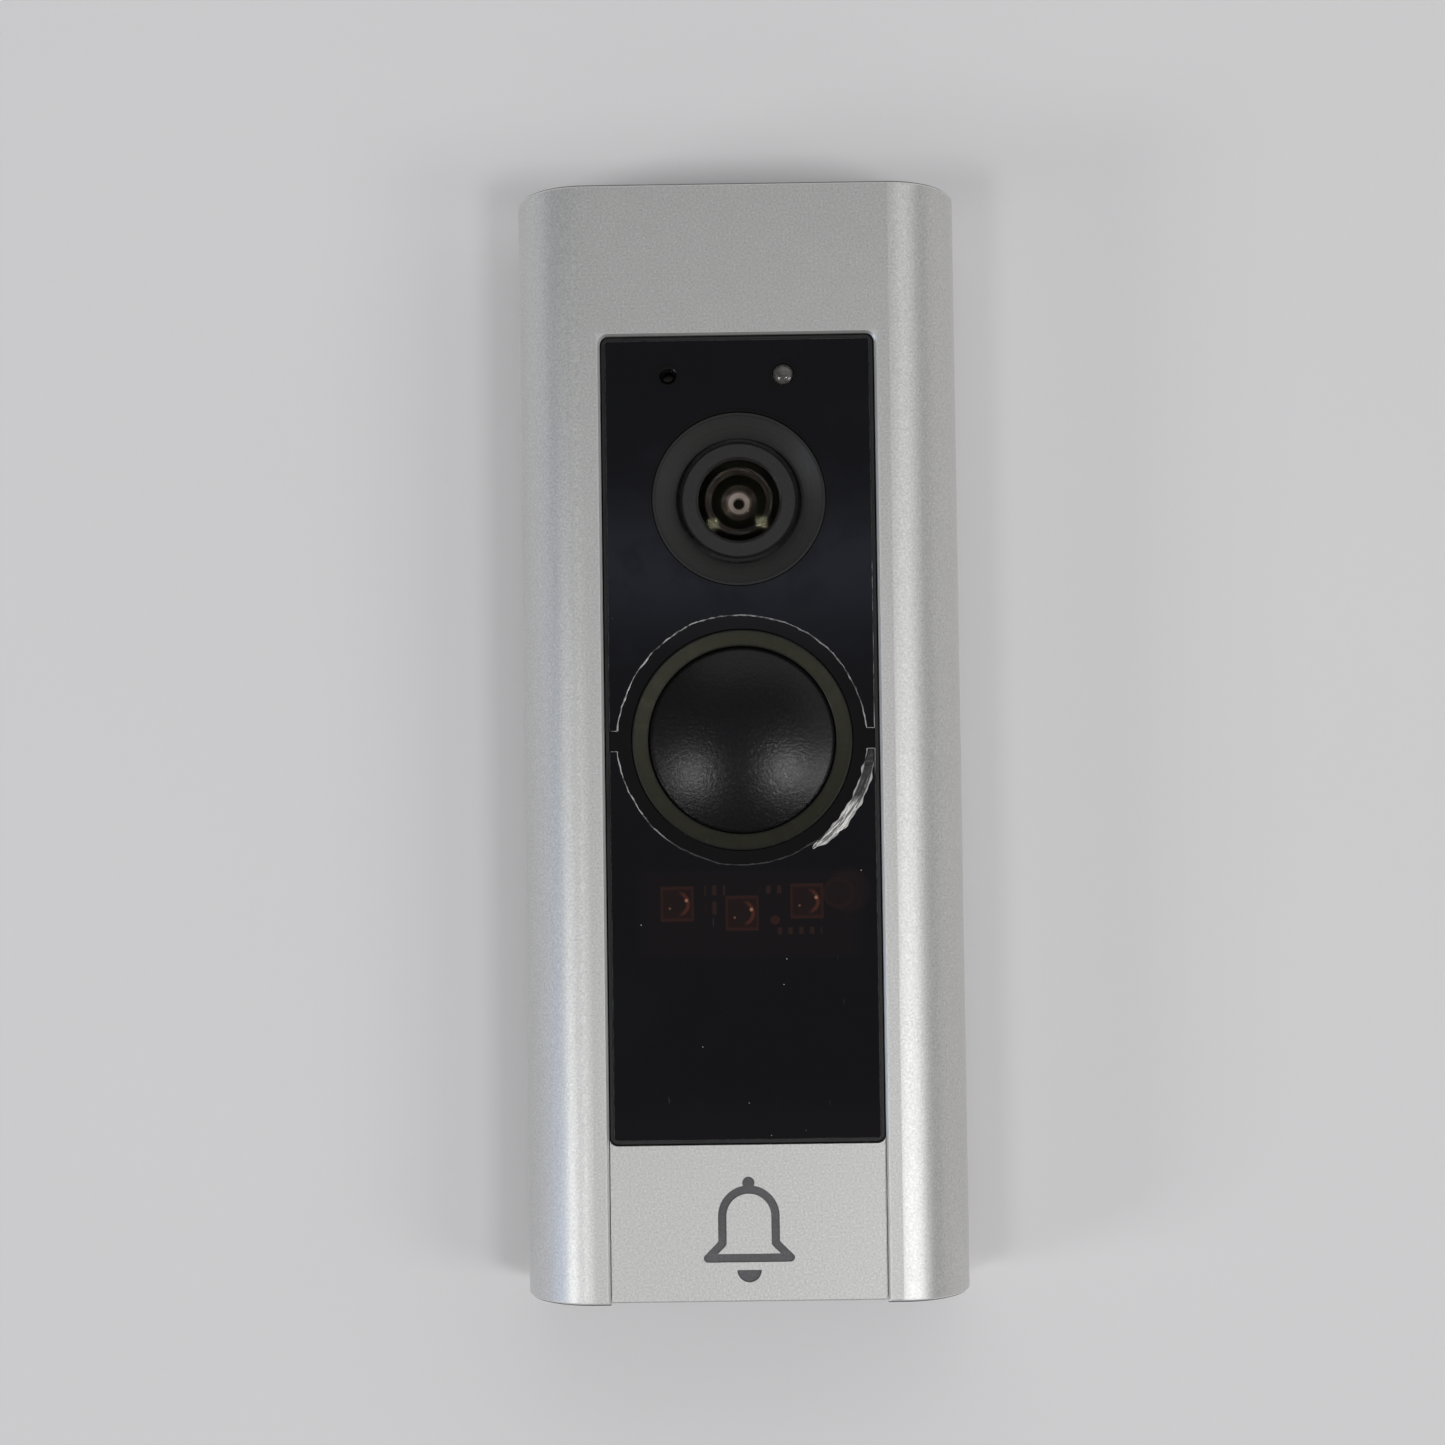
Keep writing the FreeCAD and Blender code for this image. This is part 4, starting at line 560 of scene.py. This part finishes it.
LOOKS = {
    # the cover's metal gets the painted rim highlights and end shade; the chin's metal doesn't
    "cover_metal": lambda s: anodised(s, True),
    "chin_metal": lambda s: anodised(s, False),
    "mark_grey": lambda s: moulded(s, (0.115, 0.115, 0.12), 0.55, 0.18, 0.02),
    "liner_plastic": lambda s: moulded(s, (0.016, 0.016, 0.017), 0.48),
    "spring_steel": lambda s: bare_metal(s, (0.52, 0.53, 0.55), 0.30, (1, 1, 0.1)),
    "black_screw_steel": lambda s: bare_metal(s, (0.05, 0.05, 0.055), 0.38),
    "housing_plastic": lambda s: moulded(s, (0.010, 0.010, 0.011), 0.40, 0.25, 0.015),
    "back_plastic": lambda s: moulded(s, (0.022, 0.022, 0.024), 0.52, 0.45, 0.045),
    "seal_rubber": lambda s: rubber(s, (0.03, 0.03, 0.033)),
    "screw_steel": lambda s: bare_metal(s, (0.58, 0.58, 0.60), 0.30),
    "label_paper": label,
    "window_black": lambda s: window(s, (0.0022, 0.0018, 0.0022), (0.005, 0.0045, 0.0045)),
    "tape_black": lambda s: rubber(s, (0.012, 0.012, 0.012)),
    "film_clear": lambda s: window(s, (0.0024, 0.0025, 0.0046), (0.0055, 0.0055, 0.0078)),
    "trim_metal": turned_trim,
    "lens_black": barrel_plastic,
    "lens_glass": lambda s: optic(s, (0.92, 0.89, 0.88), (0.20, 0.195, 0.125)),
    "stop_black": stop_metal,
    "holder_plastic": lambda s: moulded(s, (0.02, 0.02, 0.022), 0.5),
    "sensor_die": sensor,
    "board_green": lambda s: board(s, (0.012, 0.075, 0.035), (0.75, 0.55, 0.22)),
    "mic_can": lambda s: bare_metal(s, (0.36, 0.33, 0.27), 0.34),
    "pipe_clear": pipe_plastic,
    "chip_black": lambda s: moulded(s, (0.012, 0.012, 0.014), 0.5, 0.12, 0.01),
    "button_black": button_plastic,
    "plunger_white": lambda s: moulded(s, (0.55, 0.55, 0.53), 0.45, 0.3, 0.02),
    "switch_grey": lambda s: moulded(s, (0.10, 0.10, 0.11), 0.45, 0.2, 0.02),
    "ring_translucent": ring_plastic,
    "led_white": lambda s: moulded(s, (0.78, 0.72, 0.42), 0.3, 0.15, 0.01),
    "ir_lamp": lambda s: moulded(s, (0.16, 0.03, 0.03), 0.25, 0.3, 0.01),
    "shield_can": lambda s: bare_metal(s, (0.62, 0.62, 0.60), 0.32, (1, 1, 0.15)),
    "connector_white": lambda s: moulded(s, (0.66, 0.62, 0.50), 0.45, 0.2, 0.02),
    "antenna_board": lambda s: board(s, (0.006, 0.012, 0.045), (0.75, 0.55, 0.22)),
    "coil_dark": lambda s: moulded(s, (0.045, 0.04, 0.04), 0.55, 0.3, 0.04),
    "capacitor_can": lambda s: bare_metal(s, (0.58, 0.58, 0.60), 0.26, (0.2, 1, 1)),
    "terminal_brass": lambda s: bare_metal(s, (0.66, 0.47, 0.20), 0.28, (1, 0.2, 1), (0.42, 0.28, 0.12)),
    "clamp_steel": lambda s: bare_metal(s, (0.60, 0.57, 0.47), 0.34, (1, 1, 0.2), (0.52, 0.46, 0.30)),
    "terminal_steel": lambda s: bare_metal(s, (0.62, 0.61, 0.58), 0.28, (1, 1, 1), (0.46, 0.42, 0.34)),
    "setup_orange": lambda s: moulded(s, (0.62, 0.13, 0.015), 0.45, 0.2, 0.015),
    "speaker_black": lambda s: moulded(s, (0.02, 0.02, 0.022), 0.45),
    "speaker_paper": speaker_paper,
    "film_edge_white": film_edge,
    "film_creased": creased_film,
}
_made = {}


def material(slot):
    if slot not in _made:
        _made[slot] = LOOKS[slot](slot)
    return _made[slot]


def dress_cad_nodes():
    """Gives each CAD node its slot's material."""
    for part in frame["record"]["subparts"]:
        node = NODES[part["node"]]
        node.data.materials.clear()
        node.data.materials.append(material(part["material_slot"]))
        for polygon in node.data.polygons:
            polygon.material_index = 0


# ---- the clear film's cut edges ------------------------------------------------------------------
def film_outline(upper):
    """One film's outline in (x, z), in millimetres, as straight runs and its arc round the button."""
    sign = 1 if upper else -1
    half = OPENING_HALF_MM - FILM_INSET_MM
    end = OPENING_TOP_MM - FILM_INSET_MM if upper else OPENING_BOTTOM_MM + FILM_INSET_MM
    start = BUTTON_Z_MM + sign * FILM_BRIDGE_MM / 2
    rise = math.asin((FILM_BRIDGE_MM / 2) / FILM_RING_MM)
    arc = []
    steps = 90
    for k in range(steps + 1):
        turn = rise + (math.pi - 2 * rise) * k / steps
        arc.append((FILM_RING_MM * math.cos(turn), BUTTON_Z_MM + sign * FILM_RING_MM * math.sin(turn)))
    return {"arc": arc, "right": [(half, start), (half, end)], "left": [(-half, start), (-half, end)],
            "end": [(-half, end), (half, end)], "tab_right": [(FILM_RING_MM, start), (half, start)],
            "tab_left": [(-half, start), (-FILM_RING_MM, start)]}


def resampled(points, spacing):
    """The same path with points at an even spacing."""
    path = [Vector(p) for p in points]
    out = [path[0]]
    for a, b in zip(path, path[1:]):
        steps = max(1, round((b - a).length / spacing))
        out += [a.lerp(b, (k + 1) / steps) for k in range(steps)]
    return out


def ribbon(name, points, width_mm, height_mm, rng, wobble_mm):
    """A low ragged bead along a path on the window, as a mesh with a closed triangular section."""
    path = resampled(points, 0.35)
    vertices, faces = [], []
    drift = 0.0
    for k, point in enumerate(path):
        ahead = path[min(k + 1, len(path) - 1)] - path[max(k - 1, 0)]
        normal = Vector((-ahead.y, ahead.x)).normalized()
        drift = 0.75 * drift + rng.uniform(-wobble_mm, wobble_mm)
        width = width_mm * rng.uniform(0.55, 1.25)
        height = height_mm * rng.uniform(0.5, 1.2)
        centre = point + normal * drift
        for across, up in ((-0.5, 0.0), (0.0, height), (0.5, 0.0)):
            at = centre + normal * (across * width)
            vertices.append((at.x * MM, (FILM_MM + 0.01 - up) * MM, at.y * MM))
    for k in range(len(path) - 1):
        a, b = 3 * k, 3 * (k + 1)
        for i, j in ((0, 1), (1, 2), (2, 0)):
            faces.append((a + i, a + j, b + j, b + i))
    last = 3 * (len(path) - 1)
    faces += [(2, 1, 0), (last, last + 1, last + 2)]
    mesh = bpy.data.meshes.new(name)
    mesh.from_pydata(vertices, [], faces)
    mesh.update()
    piece = bpy.data.objects.new(name, mesh)
    bpy.context.scene.collection.objects.link(piece)
    return piece


def joined(name, pieces):
    """Several meshes as one object."""
    vertices, faces = [], []
    for piece in pieces:
        base = len(vertices)
        vertices += [tuple(v.co) for v in piece.data.vertices]
        faces += [tuple(base + i for i in p.vertices) for p in piece.data.polygons]
        bpy.data.objects.remove(piece)
    mesh = bpy.data.meshes.new(name)
    mesh.from_pydata(vertices, [], faces)
    mesh.update()
    result = bpy.data.objects.new(name, mesh)
    bpy.context.scene.collection.objects.link(result)
    return result


def film_edges():
    rng = random.Random(41)
    for upper in (True, False):
        outline = film_outline(upper)
        strokes = []
        for part, points in outline.items():
            width = 0.15 if part == "arc" else 0.08
            wobble = 0.055 if part == "arc" else 0.010
            strokes.append(ribbon(part, points, width, 0.04, rng, wobble))
        piece = joined("film_edge_upper" if upper else "film_edge_lower", strokes)
        piece.data.materials.append(material("film_edge_white"))
        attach(piece, "body")


def lifted_film():
    """The lower film's edge at the button's lower right, lifted and creased into a thin bright sliver."""
    rng = random.Random(7)
    steps, rows = 120, 9
    start, stop = math.radians(-5.0), math.radians(-58.0)
    offsets = [rng.uniform(-1, 1) for _ in range(rows)]
    vertices, faces = [], []
    for k in range(steps + 1):
        t = k / steps
        turn = start + (stop - start) * t
        fullness = min(1.0, 0.35 + 4.0 * t, math.sqrt(max(0.0, 1.0 - t) / 0.30))
        width = 0.04 + 1.12 * fullness
        ripple = 0.06 * math.sin(31 * t) + 0.05 * math.sin(57 * t + 1.0)
        for row in range(rows):
            u = row / (rows - 1)
            crease = 0.09 * math.sin(9 * u * math.pi + 6 * t + offsets[row]) * math.sin(math.pi * u)
            away = 13.05 + 0.12 * t + ripple + (u - 0.45) * width
            lift = 0.03 + fullness * (0.05 + 0.13 * t * math.sin(math.pi * (1 - u) * 0.6) + crease * 0.8 * t)
            lift += 0.02 * rng.uniform(-1, 1)
            x, z = away * math.cos(turn), BUTTON_Z_MM + away * math.sin(turn)
            vertices.append((x * MM, (FILM_MM - max(0.015, lift)) * MM, z * MM))
    for k in range(steps):
        for row in range(rows - 1):
            a = k * rows + row
            faces.append((a, a + 1, a + rows + 1, a + rows))
    mesh = bpy.data.meshes.new("film_lifted_edge")
    mesh.from_pydata(vertices, [], faces)
    mesh.update()
    piece = bpy.data.objects.new("film_lifted_edge", mesh)
    bpy.context.scene.collection.objects.link(piece)
    for polygon in mesh.polygons:
        polygon.use_smooth = True
    solid = piece.modifiers.new("thickness", "SOLIDIFY")
    solid.thickness = 0.02 * MM
    solid.offset = 0.0
    piece.data.materials.append(material("film_creased"))
    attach(piece, "body")


# ---- stage ---------------------------------------------------------------------------------------
def backdrop():
    """A pale sheet just behind the doorbell's back. It is clear from behind, so the back can be looked at."""
    half, y = 2.5, 0.0003
    mesh = bpy.data.meshes.new("backdrop")
    corners = [(-half, y, -half), (half, y, -half), (half, y, half), (-half, y, half)]
    mesh.from_pydata(corners, [], [(0, 1, 2, 3)])
    mesh.update()
    sheet = bpy.data.objects.new("backdrop", mesh)
    bpy.context.scene.collection.objects.link(sheet)
    glow = {"Emission_Color": (1.0, 0.99, 0.995, 1.0), "Emission_Strength": 0.112}
    look = Look("backdrop_paper", (0.72, 0.71, 0.715), 0.85, 0.0, **glow)
    look.tint(look.share(look.band(look.noise(60.0, 2.0), 0.3, 0.7), 0.35), (0.74, 0.73, 0.735))
    look.bump(look.noise(0.8, 3.0), 0.05, 0.15)
    geometry = look.node("NewGeometry")
    clear = look.node("BsdfTransparent")
    mix = look.node("MixShader")
    look.tree.links.new(geometry.outputs["Backfacing"], mix.inputs[0])
    look.tree.links.new(look.shader.outputs[0], mix.inputs[1])
    look.tree.links.new(clear.outputs[0], mix.inputs[2])
    look.tree.links.new(mix.outputs[0], look.out.inputs[0])
    sheet.data.materials.append(look.material)
    sheet.visible_shadow = False


def lamp(name, place, size, power, color=WHITE):
    """A flat soft light that faces the doorbell's middle."""
    light = bpy.data.lights.new(name, "AREA")
    light.shape = "RECTANGLE"
    light.size, light.size_y = size
    light.energy = power
    light.color = color
    thing = bpy.data.objects.new(name, light)
    thing.location = place
    thing.rotation_euler = (-Vector(place)).to_track_quat("-Z", "Y").to_euler()
    bpy.context.scene.collection.objects.link(thing)


def toward(azimuth, elevation, distance):
    """A point at a distance from the origin. Azimuth 0 is the visitor's side, and + is to their right."""
    a, e = math.radians(azimuth), math.radians(elevation)
    level = distance * math.cos(e)
    return (level * math.sin(a), -level * math.cos(a), distance * math.sin(e))


def lights():
    lamp("lamp_left", toward(-23, -13, 1.5), (0.22, 0.22), 2.4)
    lamp("lamp_right", toward(20, -12, 1.5), (0.24, 0.24), 3.1)
    lamp("arch_left", toward(-57, -15, 1.4), (0.35, 0.35), 2.9)
    lamp("arch_right", toward(44, -15, 1.4), (0.50, 0.40), 2.4)
    lamp("fill_left", toward(-88, -22, 1.3), (0.3, 0.8), 1.9, (0.50, 0.66, 1.0))
    lamp("fill_right", toward(52, 12, 1.6), (1.2, 1.6), 2.6)
    lamp("fill_top", toward(10, 45, 1.6), (1.6, 0.8), 2.1)
    lamp("back_soft", (-0.12, 1.5, 0.30), (0.5, 0.5), 10.0)


def world():
    """Grey surroundings, darker in front, with a pale level strip all round that the window reflects."""
    made = bpy.data.worlds.new("studio")
    bpy.context.scene.world = made
    made.use_nodes = True
    tree = made.node_tree
    shade = tree.nodes["Background"]
    coord = tree.nodes.new("ShaderNodeTexCoord")
    split = tree.nodes.new("ShaderNodeSeparateXYZ")
    tree.links.new(coord.outputs["Generated"], split.inputs[0])

    def slope(axis, zero_at, one_at):
        made = tree.nodes.new("ShaderNodeMapRange")
        made.interpolation_type = "SMOOTHSTEP"
        tree.links.new(split.outputs[axis], made.inputs["Value"])
        made.inputs["From Min"].default_value = min(zero_at, one_at)
        made.inputs["From Max"].default_value = max(zero_at, one_at)
        made.inputs["To Min"].default_value = 0.0 if zero_at < one_at else 1.0
        made.inputs["To Max"].default_value = 1.0 if zero_at < one_at else 0.0
        return made.outputs[0]

    def blend(factor):
        made = tree.nodes.new("ShaderNodeMix")
        made.data_type = "RGBA"
        tree.links.new(factor, made.inputs[0])
        return made

    ahead_or_around = blend(slope(1, -0.78, -0.42))
    ahead_or_around.inputs[6].default_value = (0.172, 0.172, 0.178, 1)
    ahead_or_around.inputs[7].default_value = (0.200, 0.200, 0.202, 1)
    strip = tree.nodes.new("ShaderNodeMath")
    strip.operation = "MULTIPLY"
    tree.links.new(slope(2, 0.066, 0.084), strip.inputs[0])
    tree.links.new(slope(2, 0.110, 0.094), strip.inputs[1])
    with_strip = blend(strip.outputs[0])
    tree.links.new(ahead_or_around.outputs[2], with_strip.inputs[6])
    with_strip.inputs[7].default_value = (0.50, 0.52, 0.66, 1)
    tree.links.new(with_strip.outputs[2], shade.inputs["Color"])
    shade.inputs["Strength"].default_value = 1.0


def camera():
    """Almost square to the front, slightly below the middle and rolled a little."""
    distance, height = 0.3498, -0.01154
    pan, tilt, roll = 0.0060, 0.0403, -0.0137
    sensor_width_mm, focal_length_mm = 36.0, 80.7696
    forward = Vector((-math.sin(pan) * math.cos(tilt), math.cos(pan) * math.cos(tilt), math.sin(tilt)))
    level = Vector((math.cos(pan), math.sin(pan), 0))
    upright = level.cross(forward)
    right = level * math.cos(roll) + upright * math.sin(roll)
    up = upright * math.cos(roll) - level * math.sin(roll)
    data = bpy.data.cameras.new("camera")
    data.sensor_width = sensor_width_mm
    data.lens = focal_length_mm
    data.clip_start = 0.01
    view = bpy.data.objects.new("camera", data)
    turn = Matrix((right, up, -forward)).transposed().to_4x4()
    view.matrix_world = Matrix.Translation((0.0, -distance, height)) @ turn
    bpy.context.scene.collection.objects.link(view)
    bpy.context.scene.camera = view


# plain sRGB, so the sheet and the metal keep the brightness that the lights give them
bpy.context.scene.view_settings.view_transform = "Standard"
camera()
world()
lights()
backdrop()
dress_cad_nodes()
film_edges()
lifted_film()

bpy.context.view_layer.update()
